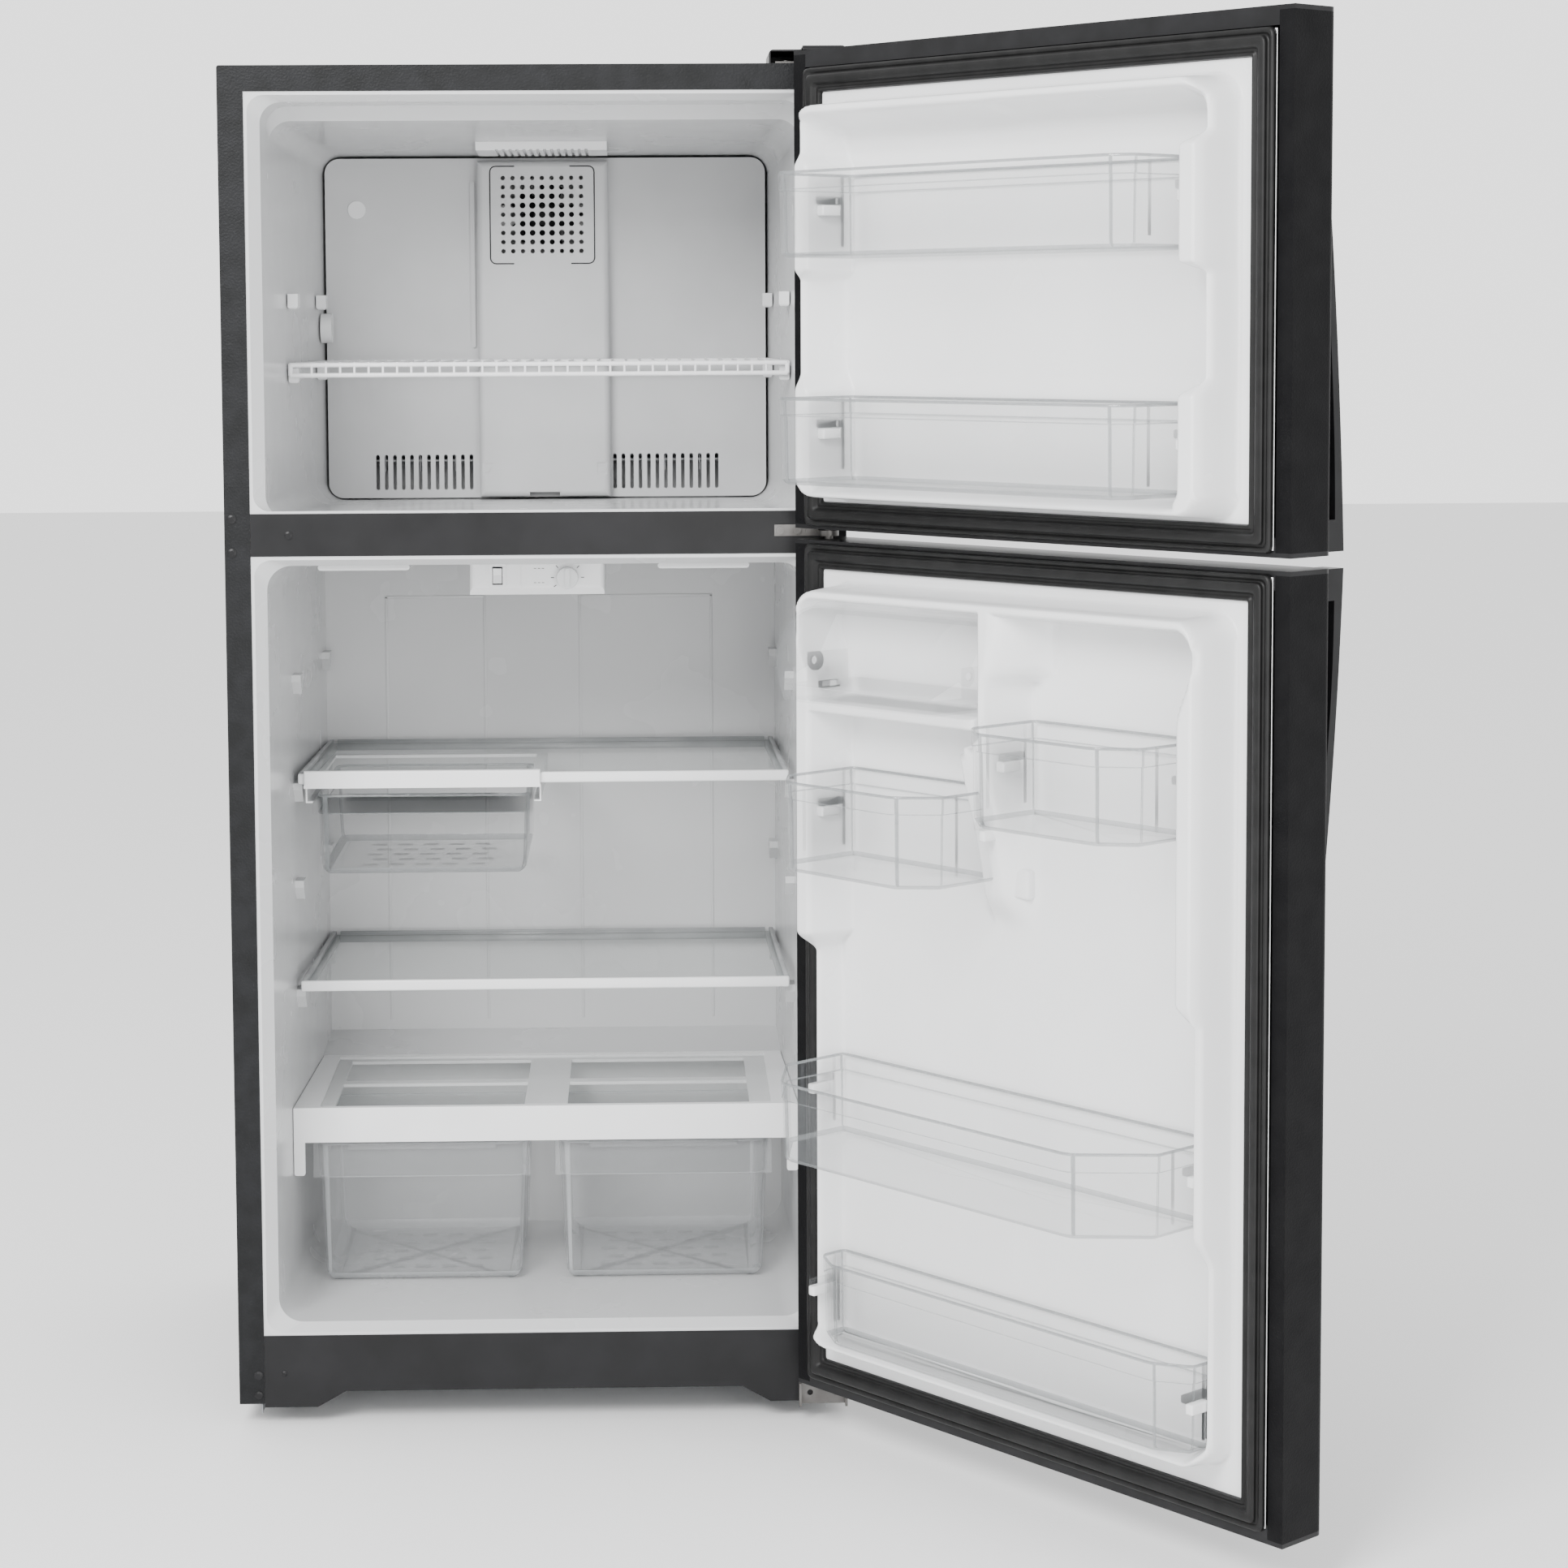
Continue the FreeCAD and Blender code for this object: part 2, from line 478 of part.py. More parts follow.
def evaporator_fan_motor():
    can = rod((GRILLE_X, 545, FAN_Z), (GRILLE_X, 574, FAN_Z), 21)
    shaft = rod((GRILLE_X, 531, FAN_Z), (GRILLE_X, 546, FAN_Z), 2.5)
    arms = [box(GRILLE_X - 66, GRILLE_X + 66, 550, 552, FAN_Z + z, FAN_Z + z + 10) for z in (-15, 5)]
    feet = [box(GRILLE_X + s * 62 - 4, GRILLE_X + s * 62 + 4, COVER_Y + COVER_T, 552, FAN_Z - 15, FAN_Z + 15)
            for s in (-1, 1)]
    return fuse([can, shaft] + arms + feet)


def freezer_fittings():
    """The white mouldings clipped to the freezer liner: ceiling duct, ice-maker caps and shelf clips."""
    near, far = (ceiling(FREEZER_SECTIONS, y) - FIT for y in (330, 430))
    top = [(330, near), (430, far), (430, far - 9), (336, near - 11)]
    duct = polygon_prism([(-85, y, z) for y, z in top], (171, 0, 0))
    slots = [box(x, x + 4, 320, 440, near - 14, near - 9.5) for x in range(-60, 60, 9)]
    pieces = [cut(duct, slots)]
    half = wall_half(FREEZER_SECTIONS, 505)
    pieces.append(rod((-half + FIT, 485, 1357), (-half + 15, 485, 1357), 20))
    pieces.append(rod((-256, COVER_Y - 2.5, 1517), (-256, COVER_Y, 1517), 12))
    for side in (-1, 1):
        for y in (WIRE_FRONT + 20, WIRE_BACK - 30):
            wall = wall_half(FREEZER_SECTIONS, y + 14) - FIT
            for z in (1302.0, 1396.0):
                x0, x1 = sorted((side * wall, side * (wall - 13)))
                block = box(x0, x1, y - 14, y + 14, z - 14, z + 5)
                pieces.append(round_edges(block, 4, lambda p, z=z: p.z < z - 13.9))
    return Part.makeCompound(pieces)


def wire_shelf():
    """Round steel wires: a front and a back bar, a dropped front bar and thin cross wires."""
    def half(y):
        return wall_half(FREEZER_SECTIONS, y) - 5
    front, back = half(WIRE_FRONT), half(WIRE_BACK)
    bars = [rod((-front, WIRE_FRONT, WIRE_Z), (front, WIRE_FRONT, WIRE_Z), 3),
            rod((-front, WIRE_FRONT, WIRE_Z - 13), (front, WIRE_FRONT, WIRE_Z - 13), 3),
            rod((-back, WIRE_BACK, WIRE_Z), (back, WIRE_BACK, WIRE_Z), 3)]
    for side in (-1, 1):
        bars.append(rod((side * front, WIRE_FRONT, WIRE_Z), (side * back, WIRE_BACK, WIRE_Z), 3))
        bars.append(rod((side * front, WIRE_FRONT, WIRE_Z - 13), (side * front, WIRE_FRONT, WIRE_Z), 3))
    pitch = 18.0
    for i in range(-16, 17):
        x, front_y = i * pitch, WIRE_FRONT - 1
        bars.append(rod((x, front_y, WIRE_Z + 2), (x, WIRE_BACK + 1, WIRE_Z + 2), 1.5))
        bars.append(rod((x, front_y, WIRE_Z - 13), (x, front_y, WIRE_Z + 2), 1.5))
    return fuse(bars)


# --- fridge interior pieces ----------------------------------------------------------------------


def control_housing():
    """The moulded box on the ceiling that carries the dial, the door switch and the lamp."""
    y0, y1, low = HOUSING_Y0, HOUSING_Y1, HOUSING_LOW

    def profile(inset, top):
        return [(y0 + inset, low + 10), (y0 + 8 + inset / 2, low + inset), (y1 - 20, low + inset),
                (y1 - inset, low + 16), (y1 - inset, ceiling(FRIDGE_SECTIONS, y1) + top),
                (y0 + inset, ceiling(FRIDGE_SECTIONS, y0) + top)]
    width, sides = HOUSING_X1 - HOUSING_X0, (HOUSING_X0, HOUSING_X1)
    body = polygon_prism([(HOUSING_X0, y, z) for y, z in profile(0, -FIT)], (width, 0, 0))
    body = round_edges(body, 7, lambda p: p.y < y0 + 0.01 and min(abs(p.x - x) for x in sides) < 0.01)
    inner = polygon_prism([(HOUSING_X0 + 3, y, z) for y, z in profile(3, 5)], (width - 6, 0, 0))
    bore = rod((KNOB_X, y0 - 1, KNOB_Z), (KNOB_X, y0 + 10, KNOB_Z), KNOB_SHAFT_R + RUNNING)
    slot = box(SWITCH_X - 6.5, SWITCH_X + 6.5, y0 - 3, y0 + 8, SWITCH_Z - 11.5, SWITCH_Z + 11.5)
    groove = box(-25, -23.5, y0 - 1, y0 + 0.8, low + 4, 1070)
    frame = rounded_prism(SWITCH_X - 11, SWITCH_X + 11, y0 - 1.5, y0, SWITCH_Z - 14.5, SWITCH_Z + 14.5, 2)
    ears = [box(x - 1, x + 1, y0 + 2, y0 + 9, SWITCH_Z - 4, SWITCH_Z + 4)
            for x in (SWITCH_X - 8, SWITCH_X + 8)]
    pivot = rod((SWITCH_X - 10, SWITCH_Y, SWITCH_Z), (SWITCH_X + 10, SWITCH_Y, SWITCH_Z), 1.2 + RUNNING)
    return fuse([cut(fuse([body, frame]), [inner, bore, slot, groove])] + ears).cut(pivot)


def temperature_knob():
    y0 = HOUSING_Y0
    dial = rod((KNOB_X, y0 - 13, KNOB_Z), (KNOB_X, y0 - 0.6, KNOB_Z), KNOB_R)
    front = [e for e in dial.Edges if len(e.Vertexes) == 1 and e.Vertexes[0].Point.y < y0 - 12.9]
    dial = dial.makeFillet(1.5, front)
    reach = KNOB_R - 1.5
    grip = rounded_prism(KNOB_X - 3, KNOB_X + 3, y0 - 15.5, y0 - 12, KNOB_Z - reach, KNOB_Z + reach, 2.9)
    shaft = rod((KNOB_X, y0 - 1, KNOB_Z), (KNOB_X, y0 + 8, KNOB_Z), KNOB_SHAFT_R)
    return fuse([dial, grip, shaft])


def light_switch():
    """A rocker on a pin across its middle, with its two faces meeting at a shallow angle."""
    y0 = HOUSING_Y0 - 5
    side = [(y0, SWITCH_Z - 9.5), (y0 + 3, SWITCH_Z + 1), (y0 + 1.5, SWITCH_Z + 9.5), (y0 + 12, SWITCH_Z + 7),
            (y0 + 12, SWITCH_Z - 7)]
    body = polygon_prism([(SWITCH_X - 5.5, y, z) for y, z in side], (11, 0, 0))
    pin = rod((SWITCH_X - 9, SWITCH_Y, SWITCH_Z), (SWITCH_X + 9, SWITCH_Y, SWITCH_Z), 1.2)
    return fuse([body, pin])


def lamp():
    """The bulb and its holder, behind the control housing."""
    y, z = HOUSING_Y1 + 4, 1036.0
    holder = rod((0, y, z), (0, y + 24, z), 15)
    neck = Part.makeCone(13, 20, 20, V(0, y + 24, z), Y_AXIS)
    ball = Part.makeSphere(20, V(0, y + 52, z))
    tab = box(-12, 12, y, y + 10, z + 8, ceiling(FRIDGE_SECTIONS, y + 10) - FIT)
    return fuse([holder, neck, ball, tab])


def shelf_plan(y, inset):
    """Half the width of a glass shelf at depth y."""
    k = (y - SHELF_FRONT) / (SHELF_BACK - SHELF_FRONT)
    return SHELF_HALF_FRONT + (SHELF_HALF_BACK - SHELF_HALF_FRONT) * k - inset


def shelf_slab(front, back, inset, z0, z1):
    y0, y1 = front + inset, back - inset
    points = [(-shelf_plan(y0, inset), y0, z0), (shelf_plan(y0, inset), y0, z0),
              (shelf_plan(y1, inset), y1, z0), (-shelf_plan(y1, inset), y1, z0)]
    return polygon_prism(points, (0, 0, z1 - z0))


def shelf_frame(top):
    """The white trim ring of a shelf, rebated for its glass."""
    ring = shelf_slab(SHELF_FRONT, SHELF_BACK, 0, top - SHELF_T, top)
    ring = round_edges(ring, 3, lambda p: p.y < SHELF_FRONT + 0.01 and abs(p.x) < SHELF_HALF_FRONT + 1)
    opening = shelf_slab(SHELF_FRONT, SHELF_BACK, 11, top - SHELF_T - 1, top + 1)
    rebate = shelf_slab(SHELF_FRONT, SHELF_BACK, 6, top - GLASS_T - 1, top + 1)
    return cut(ring, [opening, rebate])


def shelf_glasses():
    return Part.makeCompound([shelf_slab(SHELF_FRONT, SHELF_BACK, 6.3, top - GLASS_T - 1, top - 1)
                              for top in (UPPER_SHELF, MIDDLE_SHELF)])


def snack_drawer_hanger():
    """The frame under the upper shelf's left half, with a lipped rail on each side."""
    top = UPPER_SHELF - SHELF_T - FIT
    x0, x1 = SNACK_X0 - 7, SNACK_X1 + 7
    front = box(x0, x1, SHELF_FRONT - 7, SHELF_FRONT - FIT, top - 4, UPPER_SHELF + 4)
    front = round_edges(front, 2.5, lambda p: p.y < SHELF_FRONT - 6.9)
    ring = box(x0, x1, SHELF_FRONT - 7, 505, top - 4, top)
    ring = ring.cut(box(x0 + 14, x1 - 14, SHELF_FRONT + 14, 490, top - 5, top + 1))
    rails = []
    for wall, shelf in (((x0, x0 + 2), (x0, x0 + 9)), ((x1 - 2, x1), (x1 - 9, x1))):
        rails.append(box(*wall, SNACK_Y0 + 14, 505, top - 26, top))
        rails.append(box(*shelf, SNACK_Y0 + 14, 505, top - 26, top - 24))
    return fuse([front, ring] + rails)


def drawer(x0, x1, y0, y1, low, rim, draft, lip_drop):
    """A see-through drawer: a drafted basin, a rolled rim and a deeper front panel."""
    body = basin(x0, x1, y0, y1, low, rim, draft, 16, BIN_WALL)
    front = rounded_prism(x0 - 5, x1 + 5, y0 - 5, y0 + 1, rim - lip_drop, rim + 2, 5)
    pull = rounded_prism(x0 + 40, x1 - 40, y0 - 9, y0 - 4, rim - 7, rim + 2, 3)
    return fuse([body, front, pull])


def snack_drawer():
    body = drawer(SNACK_X0 + 7, SNACK_X1 - 7, SNACK_Y0, SNACK_Y1, SNACK_LOW, SNACK_RIM - 4, 5, 26)
    top = UPPER_SHELF - SHELF_T - FIT
    flanges = [box(a, b, SNACK_Y0 + 16, SNACK_Y1 - 20, top - 23, top - 20.5)
               for a, b in ((SNACK_X0 - 3, SNACK_X0 + 8.5), (SNACK_X1 - 8.5, SNACK_X1 + 3))]
    return fuse([body] + flanges)


def crisper_drawer(side):
    x0, x1 = CRISPERS[side]
    return drawer(x0, x1, CRISPER_Y0, CRISPER_Y1, CRISPER_LOW, CRISPER_RIM - 2, 8, 44)


def crisper_cover_frame():
    """The white cover over both drawers: a windowed plate, a deep front band and its two legs."""
    y0, y1, top = 160.0, LEDGE_Y - 1.5, CRISPER_COVER
    front, back = wall_half(FRIDGE_SECTIONS, y0) - 1, wall_half(FRIDGE_SECTIONS, y1) - 1
    low = top - 7
    plate = polygon_prism([(-front, y0, low), (front, y0, low), (back, y1, low), (-back, y1, low)], (0, 0, 7))
    band = box(-front, front, y0, y0 + 5, 317, top)
    band = round_edges(band, 3, lambda p: p.y < y0 + 0.01 and p.z > top - 0.01)
    legs = [rounded_prism(*sorted((s * front, s * (front - 14))), y0, y0 + 6, 274, 330, 3) for s in (-1, 1)]
    rails = [box(x - 2, x + 2, y0 + 12, y1 - 6, 324, top - 6) for x in (-306, -5, 296)]
    windows = [box(x0, x1, 178, 306, top - 8, top + 1) for x0, x1 in ((-272, -28), (27, 262))]
    windows += [box(x0, x1, 326, 440, top - 8, top + 1) for x0, x1 in ((-272, -28), (27, 262))]
    rebate = box(-290, 290, 170, 455, top - 3, top + 1)
    return cut(fuse([plate, band] + legs + rails), windows + [rebate])


def crisper_cover_glass():
    return rounded_slab(-289, 289, 171, 454, CRISPER_COVER - 3, CRISPER_COVER + 1, 6)


# --- hinges and base ------------------------------------------------------------------------------


def plate_with_nose(z0, z1, y1, x0):
    """A level hinge plate whose front end is rounded around the door's pin."""
    body = box(x0, HINGE_X + 12, HINGE_Y, y1, z0, z1)
    arm = box(HINGE_X - 12, HINGE_X + 12, HINGE_Y, y1, z0, z1)
    nose = rod((HINGE_X, HINGE_Y, z0), (HINGE_X, HINGE_Y, z1), 12)
    return fuse([body.common(box(x0, HINGE_X + 12, -6, y1, z0, z1)), arm, nose])


def top_hinge():
    low = FREEZER_DOOR_Z[1] + 0.7
    arm = plate_with_nose(low, low + 3, 30, HINGE_X - 26)
    post = box(HINGE_X - 26, HINGE_X + 12, 12, 30, CASE_TOP, low + 1)
    foot = box(HINGE_X - 60, HINGE_X + 12, 12, 92, CASE_TOP, CASE_TOP + 3)
    screws = [rod((HINGE_X - x, y, CASE_TOP + 3), (HINGE_X - x, y, CASE_TOP + 6), 6)
              for x, y in ((46, 40), (46, 76), (4, 62))]
    pin = rod((HINGE_X, HINGE_Y, low - 13), (HINGE_X, HINGE_Y, low + 1), PIN_R)
    return fuse([arm, post, foot, pin] + screws)


def top_hinge_cover():
    x0, x1, top = HINGE_X - 68, CASE_HALF - 3, CASE_TOP + 16.5
    body = box(x0, x1, HINGE_Y - 16, 98, CASE_TOP, top)
    body = round_edges(body, 5, lambda p: p.z > top - 0.01)
    hollow = box(x0 + 2, x1 - 2, HINGE_Y - 14, 96, CASE_TOP - 1, top - 2)
    over_door = box(x0 - 1, x1 + 1, HINGE_Y - 20, 3, CASE_TOP - 1, FREEZER_DOOR_Z[1] + 0.7)
    beside_arm = box(x0 - 1, HINGE_X - 30, HINGE_Y - 20, 3, CASE_TOP - 1, top + 1)
    return cut(body, [hollow, over_door, beside_arm])


def middle_hinge():
    low, high = FRIDGE_DOOR_Z[1] + 3.6, FREEZER_DOOR_Z[0] - 3.4
    arm = plate_with_nose(low, high, 0, HINGE_X - 26)
    mount = box(290, HINGE_X + 12, -3, 0, FRIDGE_DOOR_Z[1] + 0.8, FREEZER_DOOR_Z[0] + 1.2)
    screws = []
    for x in (297.0, 318.0):
        head = rod((x, -5.5, 1109.5), (x, -3, 1109.5), 4.6)
        screws.append(head.cut(rod((x, -6, 1109.5), (x, -4.5, 1109.5), 2)))
    pin = rod((HINGE_X, HINGE_Y, FRIDGE_DOOR_Z[1] - 11), (HINGE_X, HINGE_Y, FREEZER_DOOR_Z[0] + 11), PIN_R)
    return fuse([arm, mount, pin] + screws)


def bottom_hinge():
    high = FRIDGE_DOOR_Z[0] - 2.5
    arm = plate_with_nose(high - 3, high, 0, HINGE_X - 28)
    mount = box(316, HINGE_X + 22, -3, 0, 21, high)
    ends = [box(x, x + 3, -16, 0, 21, 50) for x in (316, HINGE_X + 19)]
    web = box(HINGE_X - 28, HINGE_X + 12, -14, 0, high - 3, high)
    holes = [rod((x, -5, 35), (x, 1, 35), 3.6) for x in (330, 362)]
    pin = rod((HINGE_X, HINGE_Y, high - 2), (HINGE_X, HINGE_Y, FRIDGE_DOOR_Z[0] + 11), PIN_R)
    return cut(fuse([arm, mount, web, pin] + ends), holes)


def levelling_leg(side):
    x = side * LEG_X
    pad = rod((x, LEG_Y, 0), (x, LEG_Y, 7), 17)
    hexagon = [(x + 10 * math.cos(math.radians(a)), LEG_Y + 10 * math.sin(math.radians(a)), 7)
               for a in range(0, 360, 60)]
    screw = rod((x, LEG_Y, 7), (x, LEG_Y, FOAM_FLOOR - 2), PIN_R)
    return fuse([pad, polygon_prism(hexagon, (0, 0, 7)), screw])


def rear_rollers():
    y, z = ROLLER_Y, ROLLER_R
    axle = rod((-RAIL_X - 5, y, z), (RAIL_X + 5, y, z), AXLE_R)
    wheels = []
    for side in (-1, 1):
        x0 = side * (RAIL_X - 4)
        x1 = side * (RAIL_X - 4 - ROLLER_W)
        wheel = rod((x0, y, z), (x1, y, z), ROLLER_R)
        wheels.append(wheel.makeFillet(2, [e for e in wheel.Edges if len(e.Vertexes) == 1]))
    return fuse([axle] + wheels)


def compressor():
    """A hermetic compressor shell on a footed plate, with its terminal box and tube stubs."""
    x, y, low = 130.0, 581.0, TRAY_Z + PAN_T
    feet = box(x - 92, x + 92, y - 60, y + 60, low + 10, low + 13)
    pads = [rod((x + a, y + b, low), (x + a, y + b, low + 18), 9) for a in (-80, 80) for b in (-48, 48)]
    shell = rod((x, y, low + 12), (x, y, low + 140), 72)
    crown = [e for e in shell.Edges if len(e.Vertexes) == 1 and e.Vertexes[0].Point.z > low + 100]
    shell = shell.makeFillet(34, crown)
    terminals = rounded_prism(x + 58, x + 92, y - 26, y + 26, low + 50, low + 110, 5)
    stubs = [rod((x - 40, a, low + 60), (x - 98, a, low + 60), 4) for a in (y - 20, y - 4, y + 12)]
    return fuse([feet, shell, terminals] + pads + stubs)


def condenser_coil():
    """A wire-on-tube condenser on the back: one long zigzag tube with upright wires across it."""
    tube_r, wire_r, y = 2.5, 0.9, CASE_D + 14
    rows = [(340 + 88 * i) for i in range(13)]
    pieces = []
    for i, z in enumerate(rows):
        pieces.append(rod((-270, y, z), (270, y, z), tube_r))
        if i + 1 < len(rows):
            side = 1 if i % 2 == 0 else -1
            ring = Part.makeTorus(44, tube_r, V(side * 270, y, z + 44), Y_AXIS)
            pieces.append(ring.common(box(*sorted((side * 270, side * 320)), y - 4, y + 4, z - 4, z + 92)))
    tube = fuse(pieces)
    wires = [rod((x, y + tube_r + wire_r, rows[0] - 12), (x, y + tube_r + wire_r, rows[-1] + 12), wire_r)
             for x in range(-264, 265, 12)]
    brackets = []
    for x in (-200, 200):
        for z in (rows[1] + 44, rows[-2] - 44):
            brackets.append(box(x - 10, x + 10, CASE_D, y - tube_r, z - 3, z + 3))
    return Part.makeCompound([tube] + wires + brackets)


def drain_pan():
    return basin(-250, 20, 510, 645, TRAY_Z + PAN_T, TRAY_Z + PAN_T + 34, 6, 12, 2)


def power_inlet():
    """The strain-relief gland through the tray's rear lip."""
    y = CASE_D - 8
    body = rod((-300, y - 6, 70), (-300, y + 8, 70), 11)
    head = rod((-300, y + PAN_T, 70), (-300, y + 5, 70), 15)
    return fuse([body, head]).cut(rod((-300, y - 7, 70), (-300, y + 9, 70), 4.2))


# --- doors -------------------------------------------------------------------------------------------


def pin_bores(z0, z1):
    return [rod((HINGE_X, HINGE_Y, z0 - 1), (HINGE_X, HINGE_Y, z0 + 13), PIN_R + RUNNING),
            rod((HINGE_X, HINGE_Y, z1 - 13), (HINGE_X, HINGE_Y, z1 + 1), PIN_R + RUNNING)]


def round_front_corners(slab, radius, y, half):
    """Rounds the slab's two upright edges at its front."""
    def on_corner(edge):
        first, last = edge.Vertexes[0].Point, edge.Vertexes[-1].Point
        ends_there = all(p.y < y + 0.01 and abs(p.x) > half - 0.01 for p in (first, last))
        return ends_there and abs(first.x - last.x) < 0.01
    return slab.makeFillet(radius, [e for e in slab.Edges if on_corner(e)])


def door_slab(inset, y0, y1, z0, z1, radius):
    half = CASE_HALF - inset
    return round_front_corners(box(-half, half, y0, y1, z0, z1), radius, y0, half)


def door_panel(z0, z1):
    """The outer steel pan, open at the back inside a narrow return."""
    low, high = z0 + CAP_T, z1 - CAP_T
    outer = door_slab(0, DOOR_OUT, DOOR_IN, low, high, DOOR_EDGE_R)
    inner = door_slab(SHEET, DOOR_OUT + SHEET, DOOR_IN - SHEET, low - 1, high + 1, DOOR_EDGE_R - SHEET)
    side = CASE_HALF - RETURN_W
    mouth = box(-side, side, DOOR_IN - 2, DOOR_IN + 1, low - 1, high + 1)
    return cut(outer, [inner, mouth])


def door_caps(z0, z1):
    """The plastic strips that close the pan's top and bottom, each with a bearing for the hinge pin."""
    pieces = []
    for low, boss, inward in ((z0, (z0 + 1, z0 + 16), -1), (z1 - CAP_T, (z1 - 16, z1 - 1), 1)):
        strip = door_slab(0, DOOR_OUT, DOOR_IN, low, low + CAP_T, DOOR_EDGE_R)
        bearing = rod((HINGE_X, HINGE_Y, boss[0]), (HINGE_X, HINGE_Y, boss[1]), 10)
        side = CASE_HALF - RETURN_W - FIT
        middle = low + CAP_T / 2
        back = box(-side, side, DOOR_IN - SHEET, DOOR_IN, *sorted((middle, middle - inward * LIP_H)))
        pieces.append(cut(fuse([strip, bearing, back]), pin_bores(z0, z1)))
    return Part.makeCompound(pieces)


def dike(span, half_inner, grow, y0, y1):
    """The door liner's raised border, which reaches into the cabinet when the door is closed.

    With grow it is that much smaller on every side, which gives the hollow behind the moulded skin.
    """
    low, high = span
    slope = DIKE_LEAN / (DIKE_Y - PANEL_Y)

    def outer(y):
        d = max(0.0, slope * (y - PANEL_Y)) + grow
        return upright_loop(y, d - DIKE_BASE, DIKE_BASE - d, low + d, high - d, 34 - grow)

    def inner(y):
        half = half_inner + grow
        return upright_loop(y, -half, half, low + 16 - grow, high - 20 + grow, 10 + grow)
    ring = Part.makeLoft([outer(y0), outer(y1)], True, True)
    return ring.cut(Part.makeLoft([inner(y0 - 1), inner(y1 + 1)], True, True))


def dips(places, grow):
    """The cuts that lower the border and widen the recess; with grow they are that much larger."""
    blocks = []
    for side, y, z0, z1 in places:
        z0, z1 = z0 - grow, z1 + grow
        crest = sorted((side * (NARROW_HALF - 10), side * (DIKE_BASE + 8)))
        recess = sorted((side * (NARROW_HALF - 10), side * (WIDE_HALF + grow)))
        blocks.append(box(*crest, y - grow, DIKE_Y + 2, z0, z1))
        blocks.append(box(*recess, PANEL_Y - grow * 0.5, DIKE_Y + 2, z0, z1))
    return blocks


def door_liner(door_z, span, half_inner, places, extras):
    """The white moulded inner skin: a flat back wall, the hollow dike and what is moulded on it."""
    half, (low, high) = CASE_HALF - 24, door_z
    plate = rounded_prism(-half, half, DOOR_IN, PANEL_Y, low + 24, high - 24, 12)
    border = cut(dike(span, half_inner, 0, DOOR_IN, DIKE_Y), dips(places, 0))
    core = cut(dike(span, half_inner, LINER_T, DOOR_IN - 1, DIKE_Y - LINER_T), dips(places, LINER_T))
    return fuse([fuse([plate, border]).cut(core)] + extras)


def bin_lugs(name):
    """The two lugs that a door bin hangs on, standing off the walls at its ends."""
    x0, x1, _, _, low, _ = DOOR_BINS[name]
    reach = {272.0: NARROW_HALF, 290.0: WIDE_HALF, 18.0: -SPINE_X[1], 22.0: SPINE_X[0]}
    lugs = []
    for x, side in ((x0, -1), (x1, 1)):
        wall = side * reach[abs(x)]
        edges = sorted((wall + side * LINER_T / 2, x + side * 1.0))
        lugs.append(box(*edges, 16, 44, low + 50, low + 62))
    return lugs


def freezer_door_liner():
    lugs = bin_lugs("freezer_upper_bin") + bin_lugs("freezer_lower_bin")
    return door_liner(FREEZER_DOOR_Z, FREEZER_DIKE_Z, NARROW_HALF, FREEZER_DIPS, lugs)


def fridge_door_liner():
    extras = []
    for side in (-1, 1):
        pad = box(*sorted((side * NARROW_HALF, side * (WIDE_HALF + 1))), PANEL_Y - 1, DIKE_Y, *PAD_Z)
        extras.append(pad.cut(box(*sorted((side * (NARROW_HALF + LINER_T), side * WIDE_HALF)), PANEL_Y - 2,
                                  DIKE_Y - LINER_T, PAD_Z[0] + LINER_T, PAD_Z[1] - LINER_T)))
    extras.append(box(*SPINE_X, PANEL_Y - 1, SPINE_Y, *SPINE_Z))
    extras.append(box(SPINE_X[1] - 1, NARROW_HALF + 1, PANEL_Y - 1, SPINE_Y, *LEDGE_Z))
    extras.append(rounded_prism(-60, -44, PANEL_Y - 1, 6, 742, 762, 3))
    for name in DOOR_BINS:
        if name.startswith("fridge"):
            extras += bin_lugs(name)
    return door_liner(FRIDGE_DOOR_Z, FRIDGE_DIKE_Z, WIDE_HALF, FRIDGE_DIPS, extras)


def door_foam(door_z, span, half_inner, places):
    low, high = door_z
    back = DOOR_IN - SHEET - FIT
    edge = SHEET + FIT
    block = door_slab(edge, DOOR_OUT + edge, back, low + CAP_T + FIT, high - CAP_T - FIT, DOOR_EDGE_R - SHEET)
    bearings = [rod((HINGE_X, HINGE_Y, z), (HINGE_X, HINGE_Y, z + 30), 10 + FIT)
                for z in (low - 13.8, high - 16.2)]
    skin = LINER_T + FIT
    core = cut(dike(span, half_inner, skin, back - 1, DIKE_Y - skin), dips(places, skin))
    return fuse([block, core]).cut(bearings)


def door_gasket(seal_z):
    """The hollow magnetic seal: a foot, a narrow bellows and the face that meets the flange."""
    y0, y1 = PANEL_Y, DOOR_IN + GASKET_T

    def frame(a0, a1, inset, width):
        half, low, high = GASKET_HALF - inset, seal_z[0] + inset, seal_z[1] - inset
        outer = rounded_prism(-half, half, a0, a1, low, high, 9)
        inner = half - width
        return outer.cut(rounded_prism(-inner, inner, a0 - 1, a1 + 1, low + width, high - width, 5))
    foot = frame(y0, y0 + 2.2, 0, GASKET_W)
    bellows = frame(y0 + 2, y1 - 2.2, 7, 14)
    face = frame(y1 - 2.4, y1, 2, 24)
    return fuse([foot, bellows, face])


